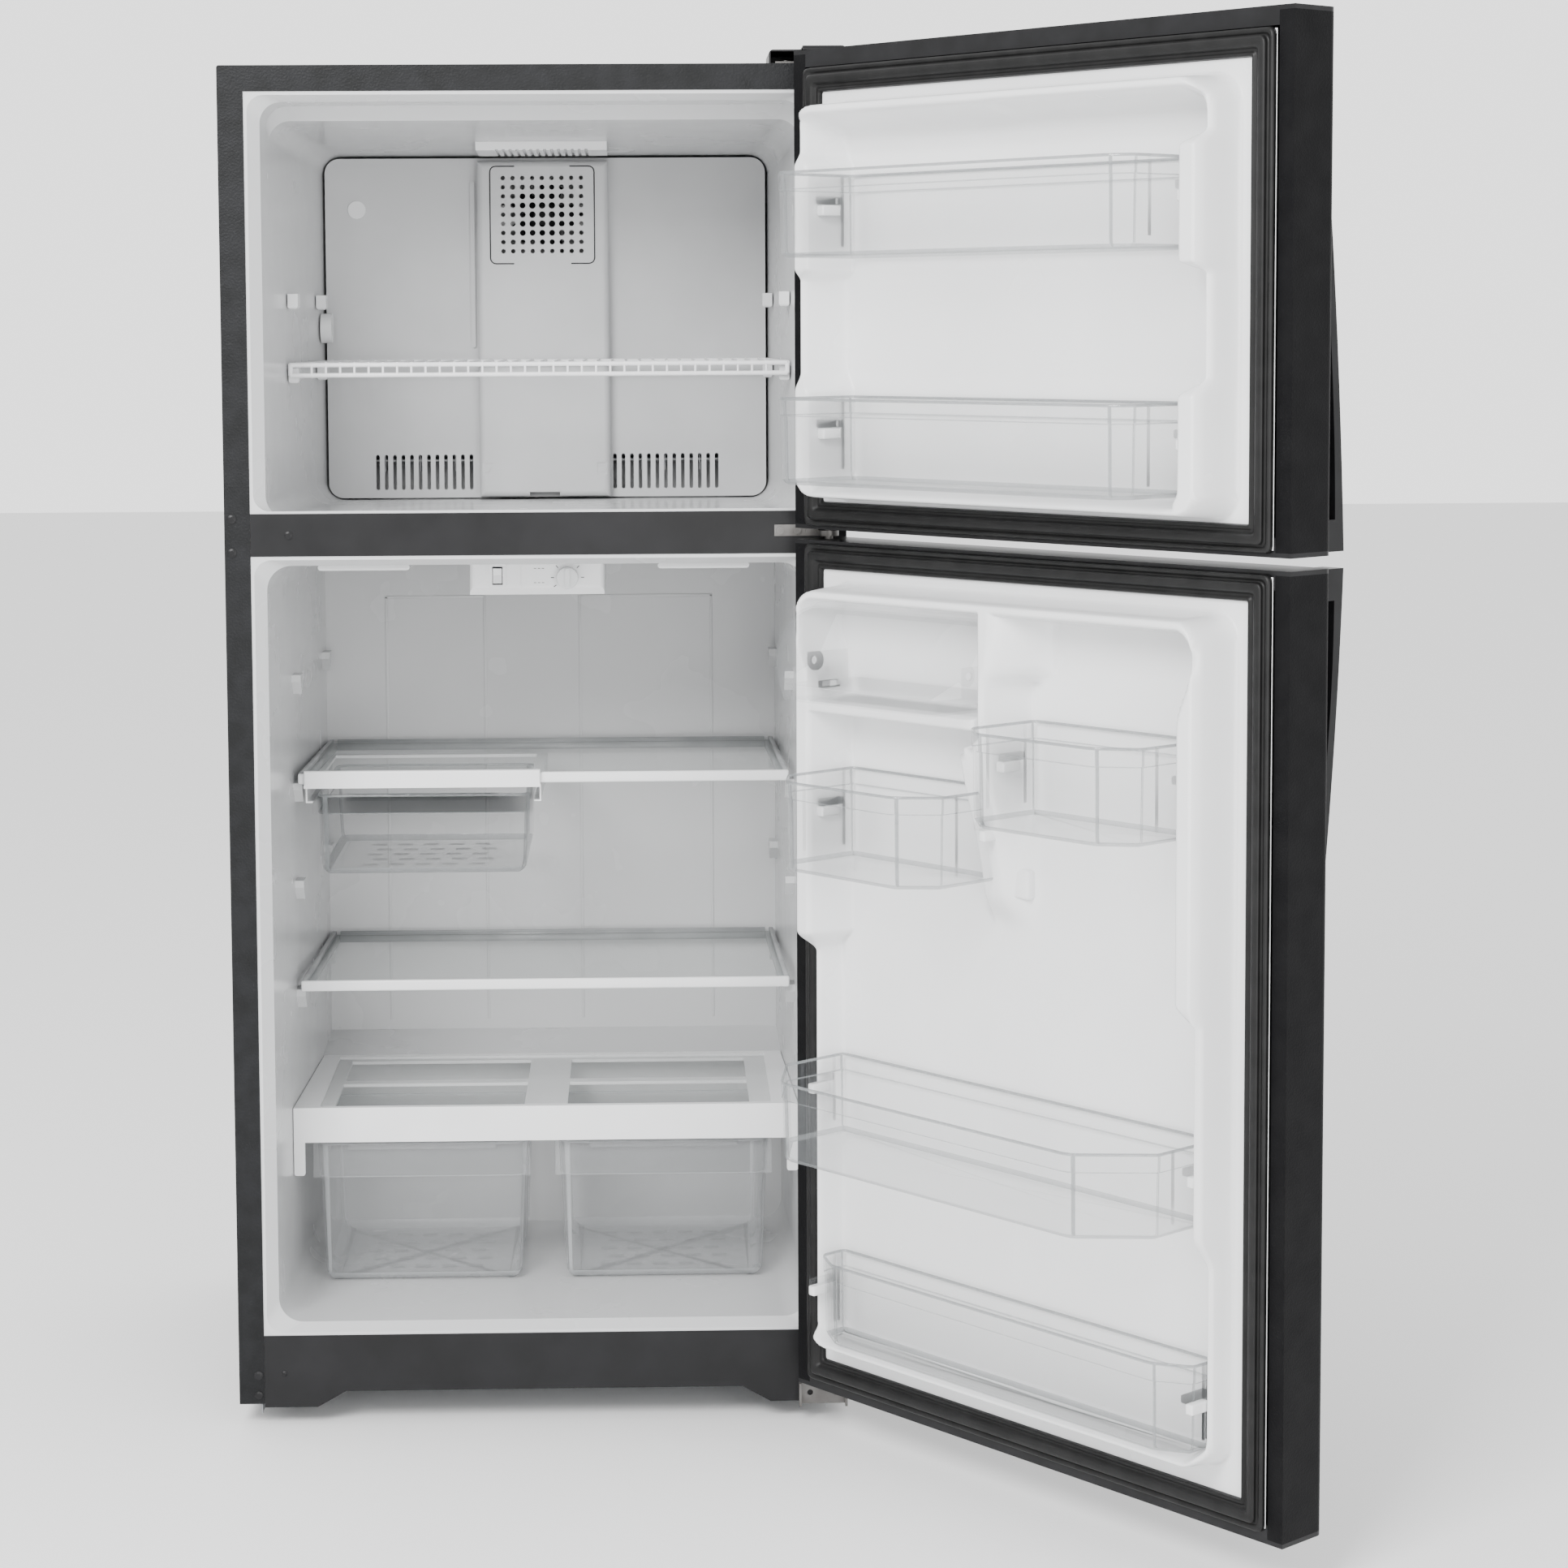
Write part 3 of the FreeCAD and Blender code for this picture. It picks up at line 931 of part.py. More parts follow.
def bin_plan(name, inset):
    """A door bin's outline seen from above: straight back and sides, slanted front corners."""
    x0, x1, front, shoulder, _, _ = DOOR_BINS[name]
    back = PANEL_Y + 3
    nose = 20.0
    cut_in = inset * 0.6
    return [(x0 + inset, back + inset), (x0 + inset, shoulder - cut_in), (x0 + nose + cut_in, front - inset),
            (x1 - nose - cut_in, front - inset), (x1 - inset, shoulder - cut_in), (x1 - inset, back + inset)]


def door_bin(name):
    """A clear bin with an ear at each end that rests on a lug of the door liner."""
    x0, x1, front, _, low, rim = DOOR_BINS[name]
    wall = BIN_WALL
    body = polygon_prism([(x, y, low) for x, y in bin_plan(name, 0)], (0, 0, rim - low))
    hollow = polygon_prism([(x, y, low + wall) for x, y in bin_plan(name, wall)], (0, 0, rim - low))
    corners = round_edges(body, 9, lambda p: p.z < low + 0.01 and p.y > front - 0.01)
    shell = corners.cut(hollow)
    ears = []
    if front > 100:
        shell = shell.cut(box(x0 + wall + 14, x1 - wall - 14, PANEL_Y, PANEL_Y + 8, low + 40, rim + 1))
    for x, side in ((x0, -1), (x1, 1)):
        edges = sorted((x + side * 5.5, x - side * wall))
        ears.append(box(*edges, 12, 48, low + 62.5, low + 72))
    return fuse([shell] + ears)


def dairy_tray():
    """The clear tray of the dairy compartment, with an upright cheek at each end for the lid's pins."""
    (x0, x1), (low, _) = DAIRY_X, DAIRY_Z
    tray = basin(x0, x1, PANEL_Y + 3, DAIRY_FRONT, low, low + TRAY_RIM, 4, 10, BIN_WALL)
    cheeks = [box(x, x + 2, 4, DAIRY_PIVOT[0] + 10, low + 10, DAIRY_PIVOT[1] + 10) for x in (x0, x1 - 2)]
    pegs = [box(*sorted((x, x + reach)), 16, 44, low + 8, low + 16)
            for x, reach in ((x0 + 1, -7.7), (x1 - 1, 7.7))]
    bore = rod((x0 - 1, *DAIRY_PIVOT), (x1 + 1, *DAIRY_PIVOT), PIN_R + RUNNING)
    return fuse([tray] + cheeks + pegs).cut(bore)


def dairy_lid():
    """The clear curved cover, part of a round barrel about its pivots."""
    x0, x1 = DAIRY_X[0] + 2.4, DAIRY_X[1] - 2.4
    y, z = DAIRY_PIVOT
    barrel = rod((x0, y, z), (x1, y, z), DAIRY_R).cut(rod((x0 + 2.5, y, z), (x1 - 2.5, y, z), DAIRY_R - 2.5))
    wedge_points = [(x0, y, z)]
    for degrees in (-21, 25, 75, 122):
        a = math.radians(degrees)
        wedge_points.append((x0, y + 120 * math.cos(a), z + 120 * math.sin(a)))
    wedge = polygon_prism(wedge_points, (x1 - x0, 0, 0))
    hubs = [rod((x, y, z), (x + 2.5, y, z), 12) for x in (x0, x1 - 2.5)]
    pins = [rod((x, y, z), (x + side * 4.2, y, z), PIN_R) for x, side in ((x0 + 1, -1), (x1 - 1, 1))]
    return fuse([barrel.common(wedge)] + hubs + pins)


def handle(span):
    """A long bar bowed away from the door, thick at the doors' split and fading out at the far end."""
    z0, z1 = span
    way = 1 if z1 > z0 else -1
    mid = (z0 + z1) / 2
    x0, face = HANDLE_X, DOOR_OUT

    def profile(near, far, end0, end1, base):
        a, b = z0 + way * end0, z1 - way * end1
        belly = V(x0, face - (near * 0.62 + far * 0.38), mid)
        arc = Part.Arc(V(x0, face - near, a), belly, V(x0, face - far, b)).toShape()
        corners = [V(x0, face - far, b), V(x0, base, b), V(x0, base, a), V(x0, face - near, a)]
        lines = [Part.LineSegment(p, q).toShape() for p, q in zip(corners, corners[1:])]
        return Part.Face(Part.Wire([arc] + lines)).extrude(V(HANDLE_W, 0, 0))
    solid = profile(HANDLE_OUT, HANDLE_TIP, 0, 0, face)
    gap = profile(HANDLE_OUT - HANDLE_BAR, HANDLE_TIP - 4, 34, 90, face + 1)
    return solid.cut(gap)


# --- the whole machine ---------------------------------------------------------------------------------


def cabinet_nodes():
    return {
        "case_wrapper": case_wrapper(),
        "rear_panel": rear_panel(),
        "base_pan": base_pan(),
        "case_foam": case_foam(),
        "freezer_liner": freezer_liner(),
        "fridge_liner": fridge_liner(),
        "mullion_rail": mullion_rail(),
        "kick_plate": kick_plate(),
        "hole_plugs": hole_plugs(),
        "evaporator_cover": evaporator_cover(),
        "air_tower": air_tower(),
        "evaporator_coil": evaporator_coil(),
        "evaporator_fan": evaporator_fan(),
        "evaporator_fan_motor": evaporator_fan_motor(),
        "freezer_fittings": freezer_fittings(),
        "wire_shelf": wire_shelf(),
        "control_housing": control_housing(),
        "temperature_knob": temperature_knob(),
        "light_switch": light_switch(),
        "lamp": lamp(),
        "upper_shelf_frame": shelf_frame(UPPER_SHELF),
        "middle_shelf_frame": shelf_frame(MIDDLE_SHELF),
        "shelf_glasses": shelf_glasses(),
        "snack_drawer_hanger": snack_drawer_hanger(),
        "snack_drawer": snack_drawer(),
        "crisper_cover_frame": crisper_cover_frame(),
        "crisper_cover_glass": crisper_cover_glass(),
        "crisper_drawer_left": crisper_drawer("left"),
        "crisper_drawer_right": crisper_drawer("right"),
        "top_hinge": top_hinge(),
        "top_hinge_cover": top_hinge_cover(),
        "middle_hinge": middle_hinge(),
        "bottom_hinge": bottom_hinge(),
        "levelling_leg_left": levelling_leg(-1),
        "levelling_leg_right": levelling_leg(1),
        "rear_rollers": rear_rollers(),
        "compressor": compressor(),
        "condenser_coil": condenser_coil(),
        "drain_pan": drain_pan(),
        "power_inlet": power_inlet(),
    }


def door_nodes():
    nodes = {}
    nodes["freezer_door_foam"] = door_foam(FREEZER_DOOR_Z, FREEZER_DIKE_Z, NARROW_HALF, FREEZER_DIPS)
    nodes["fridge_door_foam"] = door_foam(FRIDGE_DOOR_Z, FRIDGE_DIKE_Z, WIDE_HALF, FRIDGE_DIPS)
    nodes["freezer_door_liner"] = freezer_door_liner()
    nodes["fridge_door_liner"] = fridge_door_liner()
    for name, door_z, seal_z, grip in (("freezer", FREEZER_DOOR_Z, FREEZER_SEAL_Z, FREEZER_HANDLE),
                                       ("fridge", FRIDGE_DOOR_Z, FRIDGE_SEAL_Z, FRIDGE_HANDLE)):
        nodes[f"{name}_door_panel"] = door_panel(*door_z)
        nodes[f"{name}_door_gasket"] = door_gasket(seal_z)
        nodes[f"{name}_door_caps"] = door_caps(*door_z)
        nodes[f"{name}_handle"] = handle(grip)
    for name in DOOR_BINS:
        nodes[name] = door_bin(name)
    nodes["dairy_tray"] = dairy_tray()
    nodes["dairy_lid"] = dairy_lid()
    return nodes


def export(nodes, turn):
    """Writes each node in the stored frame, swung about the door hinge by turn degrees."""
    for name, shape in nodes.items():
        placed = shape.copy()
        if turn:
            placed.rotate(V(HINGE_X, HINGE_Y, 0), Z_AXIS, turn)
        placed.translate(V(0, -CASE_D / 2, 0))
        solids = placed.Solids
        volume = placed.Volume / 1000
        print(f"{name:24s} solids {len(solids):3d}  volume {volume:10.1f} cm3  valid {placed.isValid()}")
        (solids[0] if len(solids) == 1 else Part.makeCompound(solids)).exportStep(f"parts/{name}.step")


os.makedirs("parts", exist_ok=True)
export(cabinet_nodes(), 0)
export(door_nodes(), OPEN_ANGLE)
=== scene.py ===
"""Looks for the top-freezer refrigerator: finishes, finer mouldings, light and the camera."""

import json
import math

import bmesh
import bpy
from mathutils import Euler, Matrix, Vector


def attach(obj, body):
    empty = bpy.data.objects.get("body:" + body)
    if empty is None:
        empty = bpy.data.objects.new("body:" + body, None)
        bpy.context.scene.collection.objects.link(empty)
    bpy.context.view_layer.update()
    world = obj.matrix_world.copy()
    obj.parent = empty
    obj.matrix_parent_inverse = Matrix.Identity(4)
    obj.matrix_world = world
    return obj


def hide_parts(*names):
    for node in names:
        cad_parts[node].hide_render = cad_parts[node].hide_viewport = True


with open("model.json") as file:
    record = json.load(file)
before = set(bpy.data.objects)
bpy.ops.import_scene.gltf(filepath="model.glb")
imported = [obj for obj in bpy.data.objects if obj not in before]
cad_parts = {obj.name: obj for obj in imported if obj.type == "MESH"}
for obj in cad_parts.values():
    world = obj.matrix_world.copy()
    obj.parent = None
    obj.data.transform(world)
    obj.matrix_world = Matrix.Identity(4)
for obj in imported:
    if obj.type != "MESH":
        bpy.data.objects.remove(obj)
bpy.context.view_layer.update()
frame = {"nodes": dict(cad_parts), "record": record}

MM = 0.001


# --- materials ------------------------------------------------------------------------

NOISE_LOW, NOISE_HIGH = 0.3, 0.7  # most values of a noise texture fall between these
GLANCING = 0.1  # Layer Weight blend: how narrow the band is where a clear sheet looks denser


class Surface:
    """A Principled material with a few procedural layers."""

    def __init__(self, name, colour, roughness, **sockets):
        self.material = bpy.data.materials.new(name)
        self.material.use_nodes = True
        self.tree = self.material.node_tree
        self.shader = self.tree.nodes["Principled BSDF"]
        self.shader.inputs["Base Color"].default_value = (*colour, 1)
        self.shader.inputs["Roughness"].default_value = roughness
        for key, value in sockets.items():
            self.shader.inputs[key.replace("_", " ")].default_value = value
        self.place = self.tree.nodes.new("ShaderNodeTexCoord").outputs["Object"]

    def noise(self, scale, detail=3.0):
        node = self.tree.nodes.new("ShaderNodeTexNoise")
        node.inputs["Scale"].default_value = scale
        node.inputs["Detail"].default_value = detail
        self.tree.links.new(self.place, node.inputs["Vector"])
        return node.outputs["Fac"]

    def ramp(self, value, low, high, start=0.35, end=0.65):
        node = self.tree.nodes.new("ShaderNodeValToRGB")
        node.color_ramp.elements[0].position = start
        node.color_ramp.elements[1].position = end
        node.color_ramp.elements[0].color = (*low, 1)
        node.color_ramp.elements[1].color = (*high, 1)
        self.tree.links.new(value, node.inputs["Fac"])
        return node.outputs["Color"]

    def mottled(self, low, high, scale):
        """Colour that drifts softly between two tones."""
        tones = self.ramp(self.noise(scale), low, high)
        self.tree.links.new(tones, self.shader.inputs["Base Color"])
        return self

    def worn(self, low, high, scale):
        """Roughness that varies between low and high."""
        node = self.tree.nodes.new("ShaderNodeMapRange")
        node.inputs["From Min"].default_value = NOISE_LOW
        node.inputs["From Max"].default_value = NOISE_HIGH
        node.inputs["To Min"].default_value = low
        node.inputs["To Max"].default_value = high
        self.tree.links.new(self.noise(scale), node.inputs["Value"])
        self.tree.links.new(node.outputs["Result"], self.shader.inputs["Roughness"])
        return self

    def see_through(self, face_on, edge_on):
        """Clear sheet: more opaque where it is seen edge-on, as light glances off it."""
        facing = self.tree.nodes.new("ShaderNodeLayerWeight")
        facing.inputs["Blend"].default_value = GLANCING
        node = self.tree.nodes.new("ShaderNodeMapRange")
        node.inputs["To Min"].default_value = face_on
        node.inputs["To Max"].default_value = edge_on
        self.tree.links.new(facing.outputs["Facing"], node.inputs["Value"])
        self.tree.links.new(node.outputs["Result"], self.shader.inputs["Alpha"])
        return self

    def grained(self, scale, strength, distance, pebbles=False):
        """Fine relief: moulded grain from noise, or rounded pebbles from cells."""
        if pebbles:
            cells = self.tree.nodes.new("ShaderNodeTexVoronoi")
            cells.feature = "SMOOTH_F1"
            cells.inputs["Scale"].default_value = scale
            self.tree.links.new(self.place, cells.inputs["Vector"])
            height = cells.outputs["Distance"]
        else:
            height = self.noise(scale)
        bump = self.tree.nodes.new("ShaderNodeBump")
        bump.inputs["Strength"].default_value = strength
        bump.inputs["Distance"].default_value = distance
        self.tree.links.new(height, bump.inputs["Height"])
        self.tree.links.new(bump.outputs["Normal"], self.shader.inputs["Normal"])
        return self


def make_surfaces():
    made = {}

    def add(name, colour, roughness, **sockets):
        made[name] = Surface(name, colour, roughness, **sockets)
        return made[name]

    add("case_paint", (0.009, 0.0094, 0.0098), 0.5, Specular_IOR_Level=0.16).mottled(
        (0.008, 0.0084, 0.0088), (0.012, 0.0124, 0.0135), 40).grained(
        420, 0.55, 0.0008, pebbles=True)
    add("door_paint", (0.004, 0.004, 0.0045), 0.5, Specular_IOR_Level=0.09).mottled(
        (0.003, 0.003, 0.0035), (0.005, 0.005, 0.0055), 30).grained(
        520, 0.4, 0.0006, pebbles=True)
    add("dark_paint", (0.010, 0.010, 0.011), 0.38, Specular_IOR_Level=0.22).mottled(
        (0.009, 0.009, 0.0095), (0.013, 0.013, 0.014), 12).worn(0.32, 0.42, 25)
    add("grey_paint", (0.3, 0.31, 0.32), 0.42, Metallic=0.7).mottled(
        (0.26, 0.27, 0.28), (0.36, 0.37, 0.38), 18).worn(0.35, 0.55, 9)
    add("foam", (0.8, 0.72, 0.5), 0.9).mottled(
        (0.74, 0.66, 0.45), (0.86, 0.78, 0.56), 60).grained(300, 0.5, 0.001)
    add("white_liner", (0.78, 0.785, 0.79), 0.24).mottled(
        (0.76, 0.765, 0.77), (0.80, 0.805, 0.81), 5).worn(0.18, 0.28, 8).grained(14, 0.05, 0.002)
    # the cavity's liner is the same white plastic as the door liners, painted darker: painted shade
    # for the inside of the freezer and the fridge
    add("cavity_liner_painted_shade", (0.57, 0.575, 0.58), 0.3).mottled(
        (0.564, 0.569, 0.574), (0.576, 0.581, 0.586), 5).worn(0.2, 0.3, 8).grained(14, 0.05, 0.002)
    # the evaporator cover and air tower are the same white plastic too, painted darker: painted
    # shade inside the cavity
    add("cover_plastic_painted_shade", (0.54, 0.545, 0.55), 0.4).mottled(
        (0.52, 0.525, 0.53), (0.56, 0.565, 0.57), 8).grained(700, 0.15, 0.0003)
    add("white_trim", (0.82, 0.825, 0.83), 0.32).mottled(
        (0.80, 0.805, 0.81), (0.84, 0.845, 0.85), 9).grained(900, 0.1, 0.0002)
    add("clear_plastic", (0.42, 0.44, 0.45), 0.05).worn(0.03, 0.08, 12).see_through(0.012, 0.4)
    # the edge finishes are darker, denser copies of the clear and frosted plastic, put on rims,
    # lower edges, band steps and corners: painted shade for the dark lines that refraction draws
    # there
    add("clear_edge", (0.24, 0.255, 0.26), 0.1).worn(0.06, 0.16, 30).see_through(0.5, 0.8)
    add("frosted_plastic", (0.6, 0.615, 0.625), 0.3).worn(0.24, 0.38, 10).see_through(0.11, 0.5)
    add("frosted_edge", (0.5, 0.515, 0.525), 0.3).worn(0.24, 0.38, 20).see_through(0.5, 0.8)
    add("shelf_glass", (0.42, 0.46, 0.45), 0.03).worn(0.02, 0.05, 6).see_through(0.04, 0.5)
    add("rail_plastic", (0.34, 0.35, 0.355), 0.25).mottled(
        (0.31, 0.32, 0.325), (0.38, 0.39, 0.395), 20)
    add("printed_ink", (0.05, 0.05, 0.052), 0.5).mottled(
        (0.045, 0.045, 0.047), (0.06, 0.06, 0.062), 90)
    add("dial_plastic", (0.7, 0.71, 0.715), 0.3).mottled(
        (0.68, 0.69, 0.695), (0.73, 0.74, 0.745), 30)
    add("bulb_glass", (0.92, 0.92, 0.9), 0.15, Transmission_Weight=0.4).mottled(
        (0.90, 0.90, 0.88), (0.95, 0.95, 0.93), 20)
    add("white_wire", (0.82, 0.82, 0.83), 0.3).mottled((0.80, 0.80, 0.81), (0.85, 0.85, 0.86), 40)
    add("coil_aluminium", (0.7, 0.71, 0.72), 0.35, Metallic=1.0).worn(0.3, 0.45, 30)
    add("black_plastic", (0.007, 0.007, 0.0075), 0.38, Specular_IOR_Level=0.25).mottled(
        (0.006, 0.006, 0.0065), (0.010, 0.010, 0.011), 25).grained(800, 0.12, 0.0003)
    add("motor_steel", (0.5, 0.5, 0.5), 0.35, Metallic=1.0).worn(0.28, 0.45, 30)
    add("hinge_steel", (0.13, 0.125, 0.12), 0.4, Metallic=0.8).mottled(
        (0.11, 0.105, 0.10), (0.16, 0.155, 0.15), 40).worn(0.3, 0.5, 50)
    add("roller_plastic", (0.25, 0.25, 0.25), 0.5).mottled(
        (0.22, 0.22, 0.22), (0.28, 0.28, 0.28), 50)
    add("black_enamel", (0.012, 0.012, 0.013), 0.3).mottled(
        (0.010, 0.010, 0.011), (0.016, 0.016, 0.017), 20).grained(60, 0.15, 0.0006)
    add("seal_rubber", (0.006, 0.006, 0.006), 0.45, Specular_IOR_Level=0.25).mottled(
        (0.005, 0.005, 0.005), (0.009, 0.009, 0.009), 35).grained(400, 0.15, 0.0004)
    return {name: surface.material for name, surface in made.items()}


SURFACES = make_surfaces()
# CAD nodes whose finish is not their record's material slot; the liners and covers inside the
# cavity take darker copies of the white plastic, which are painted shade
FINISH_OF = {"evaporator_cover": "cover_plastic_painted_shade", "air_tower": "cover_plastic_painted_shade",
             "freezer_liner": "cavity_liner_painted_shade", "fridge_liner": "cavity_liner_painted_shade"}


def dress(obj, name):
    """Gives a CAD node one finish."""
    obj.data.materials.clear()
    obj.data.materials.append(SURFACES[name])


for part in frame["record"]["subparts"]:
    node = part["node"]
    dress(frame["nodes"][node], FINISH_OF.get(node, part["material_slot"]))


# --- places and mesh helpers ----------------------------------------------------------

# Pieces are drawn in millimetres on the machine with its doors shut: x across, y back from the
# case's front, z up. At rest the doors stand open.
CASE_D = 664.0
HINGE = Vector((354.0, -44.0, 0))
OPEN_ANGLE = 130.0
TO_FRAME = Matrix.Scale(MM, 4) @ Matrix.Translation((0, -CASE_D / 2, 0))
SWING = Matrix.Rotation(math.radians(OPEN_ANGLE), 4, "Z")
TO_OPEN_DOOR = TO_FRAME @ Matrix.Translation(HINGE) @ SWING @ Matrix.Translation(-HINGE)
TINY = 0.01
MOST_OF_SIDE = 0.45  # the share of a side that one rounded corner may use


def finish_piece(bm, name, body, finish, nodes, place=TO_FRAME,
                 edge_finish=None):
    """Turns a bmesh in the shut machine's millimetres into a piece that rides on a body.

    Faces marked 1 take the edge finish: the grey rails of a shelf frame, and on clear and frosted
    plastic a darker, denser copy of the sheet, painted shade for the dark lines that refraction
    draws along rims and bends.
    """
    bmesh.ops.recalc_face_normals(bm, faces=bm.faces)
    bm.transform(place)
    mesh = bpy.data.meshes.new(name)
    for surface in (finish, edge_finish):
        if surface:
            mesh.materials.append(SURFACES[surface])
    bm.to_mesh(mesh)
    bm.free()
    for polygon in mesh.polygons:
        polygon.use_smooth = len(polygon.vertices) <= 4  # many-sided flat faces stay flat
    obj = bpy.data.objects.new(name, mesh)
    bpy.context.collection.objects.link(obj)
    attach(obj, body)
    if nodes:
        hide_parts(*nodes)
    return obj


def step(value, start, end):
    """0 at start, 1 at end, easing in and out between."""
    t = min(1.0, max(0.0, (value - start) / (end - start)))
    return t * t * (3 - 2 * t)


def mix(a, b, t):
    return a + (b - a) * t


def inside(x, z, x0, x1, z0, z1, radius):
    """How far a point is inside a rectangle with rounded corners; negative outside."""
    dx = min(x - x0, x1 - x)
    dz = min(z - z0, z1 - z)
    if dx < radius and dz < radius:
        return radius - math.hypot(radius - dx, radius - dz)
    return min(dx, dz)


def graded(low, high, coarse, fine, bands):
    """Grid lines from low to high: fine inside the bands, coarse elsewhere."""
    lines = [low]
    while lines[-1] < high - TINY:
        here = lines[-1]
        near = any(a - TINY <= here < b for a, b in bands)
        size = fine if near else coarse
        for a, _ in bands:
            if here < a - TINY:
                size = min(size, a - here)
        lines.append(min(high, here + size))
    return lines


def relief(xs, zs, height, thickness):
    """A moulded sheet: y = height(x, z) over a grid, with its back face and rim closed."""
    bm = bmesh.new()
    front = [[bm.verts.new((x, height(x, z), z)) for z in zs] for x in xs]
    back = [[bm.verts.new((x, v.co.y - thickness, z)) for z, v in zip(zs, row)]
            for x, row in zip(xs, front)]
    for sheet in (front, back):
        for left, right in zip(sheet, sheet[1:]):
            for k in range(len(zs) - 1):
                bm.faces.new((left[k], left[k + 1], right[k + 1], right[k]))
    n, m = len(xs), len(zs)
    rim = [(i, 0) for i in range(n)] + [(n - 1, j) for j in range(1, m)]
    rim += [(i, m - 1) for i in range(n - 2, -1, -1)] + [(0, j) for j in range(m - 2, 0, -1)]
    for (i, j), (k, l) in zip(rim, rim[1:] + rim[:1]):
        bm.faces.new((front[i][j], front[k][l], back[k][l], back[i][j]))
    return bm


def arc_corner(corner, before, after, radius, steps):
    """Points that round one corner of a polygon."""
    corner, a, b = Vector(corner), Vector(before), Vector(after)
    to_a, to_b = (a - corner).normalized(), (b - corner).normalized()
    half = to_a.angle(to_b) / 2
    reach = min(radius / math.tan(half), (a - corner).length * MOST_OF_SIDE,
                (b - corner).length * MOST_OF_SIDE)
    start, end = corner + to_a * reach, corner + to_b * reach
    parts = [i / steps for i in range(steps + 1)]
    return [start.lerp(corner, t).lerp(corner.lerp(end, t), t) for t in parts]


def rounded(points, radii, steps=5):
    """A polygon in plan with its corners rounded."""
    out = []
    for k, point in enumerate(points):
        out += arc_corner(point, points[k - 1], points[(k + 1) % len(points)], radii[k], steps)
    return out


def inset(points, distance):
    """A closed outline moved inwards by distance."""
    out = []
    for k, here in enumerate(points):
        way = (points[(k + 1) % len(points)] - points[k - 1]).normalized()
        out.append(here + Vector((-way.y, way.x)) * distance)
    return out


def lofted(bm, loops, marked_rows=(), marked_columns=()):
    """Side faces between outlines of the same length, with the first and last left open.

    Faces in the marked rows and columns take the edge finish.
    """
    rows = [[bm.verts.new(point) for point in loop] for loop in loops]
    for i, (low, high) in enumerate(zip(rows, rows[1:])):
        for k in range(len(low)):
            after = (k + 1) % len(low)
            face = bm.faces.new((low[k], low[after], high[after], high[k]))
            face.material_index = int(i in marked_rows or k in marked_columns)
    return rows


CORNER_POINTS = 6  # points that rounded() gives each corner
EDGE_ROWS = (1, 2, 5, 7, 8, 9, 10, 11)  # a bin's lower edge, the step under its band, and its rim
EDGE_TURNS = (90, 68, 45, 22, 0)  # degrees round a bin's lower edge, from its floor to its wall
BAND_DRAFT = 0.2  # the share of the draft that is left at the band
BAND_STEP, BAND_RISE = 1.5, 1.2  # height and depth of the step under the band
RIM_DROP, RIM_ROUND = 3.2, 0.8


def bin_shell(outline, low, rim, wall, draft, bottom_r, band):
    """An open bin with rounded lower edges, a slight draft and a raised band under its rim."""
    def level(z, distance):
        return [(p.x, p.y, z) for p in inset(outline, distance)]

    def lower_edge(turn, z, distance, radius):
        a = math.radians(turn)
        rise = radius * (1 - math.cos(math.radians(90) - a))
        return level(z + rise, distance + radius * (1 - math.cos(a)))

    at_band = draft * BAND_DRAFT
    outer = [lower_edge(turn, low, draft, bottom_r) for turn in EDGE_TURNS]
    outer += [level(rim - band - BAND_STEP, at_band + BAND_RISE), level(rim - band, at_band),
              level(rim - RIM_DROP, 0.0), level(rim - RIM_ROUND, 0.0), level(rim, RIM_ROUND)]
    inner = [level(rim, wall - RIM_ROUND), level(rim - RIM_ROUND, wall),
             level(rim - RIM_DROP, wall), level(rim - band, at_band + wall),
             level(rim - band - BAND_STEP, at_band + wall + BAND_RISE)]
    inner += [lower_edge(turn, low + wall, draft + wall, bottom_r - wall * 0.5)
              for turn in reversed(EDGE_TURNS)]
    bm = bmesh.new()
    corner_middles = range(CORNER_POINTS // 2, len(outline), CORNER_POINTS)
    rows = lofted(bm, outer + inner, EDGE_ROWS, corner_middles)
    bm.faces.new(list(reversed(rows[0])))
    bm.faces.new(rows[-1])
    return bm


def add_block(bm, low, high, bevel):
    """A block with all its edges rounded, added to a bmesh."""
    low, high = Vector(low), Vector(high)
    block = bmesh.ops.create_cube(bm, size=1.0)
    verts = block["verts"]
    bmesh.ops.scale(bm, vec=high - low, verts=verts)
    bmesh.ops.translate(bm, vec=(low + high) / 2, verts=verts)
    edges = list(dict.fromkeys(e for v in verts for e in v.link_edges))  # a set has no fixed order
    bmesh.ops.bevel(bm, geom=edges, offset=bevel, segments=3, affect="EDGES", profile=0.5)


# --- door liners ----------------------------------------------------------------------

DOOR_HALF = 356  # half of a door's width inside its panel
PANEL_Y = -9.5  # a door liner's flat wall
CREST = 58  # the y that the raised border reaches at its highest
LINER_SHEET = 1.6
BORDER_HALF, BORDER_CORNER, BORDER_SLOPE = 312, 34, 9
RECESS_HALF, RECESS_CORNER, RECESS_LIP = 299, 22, -5
FREEZER_BORDER, FRIDGE_BORDER = (1151, 1619.5), (131, 1055.8)  # lowest and highest z
SIDE_WALLS = [(-314, -266), (266, 314)]  # where the grid is fine
LUG_Y, LUG_RISE = (16, 44), (50, 62)  # the lugs that a bin hangs on, above its floor


def ring_height(x, z, crest, half, low, high, outer, slope):
    """Height above the flat wall of the raised border at one point."""
    out = inside(x, z, -BORDER_HALF, BORDER_HALF, *outer, BORDER_CORNER)
    recess = inside(x, z, -half, half, low, high, RECESS_CORNER)
    return (crest - PANEL_Y) * step(out, 0, BORDER_SLOPE) * (1 - step(recess, RECESS_LIP, slope))


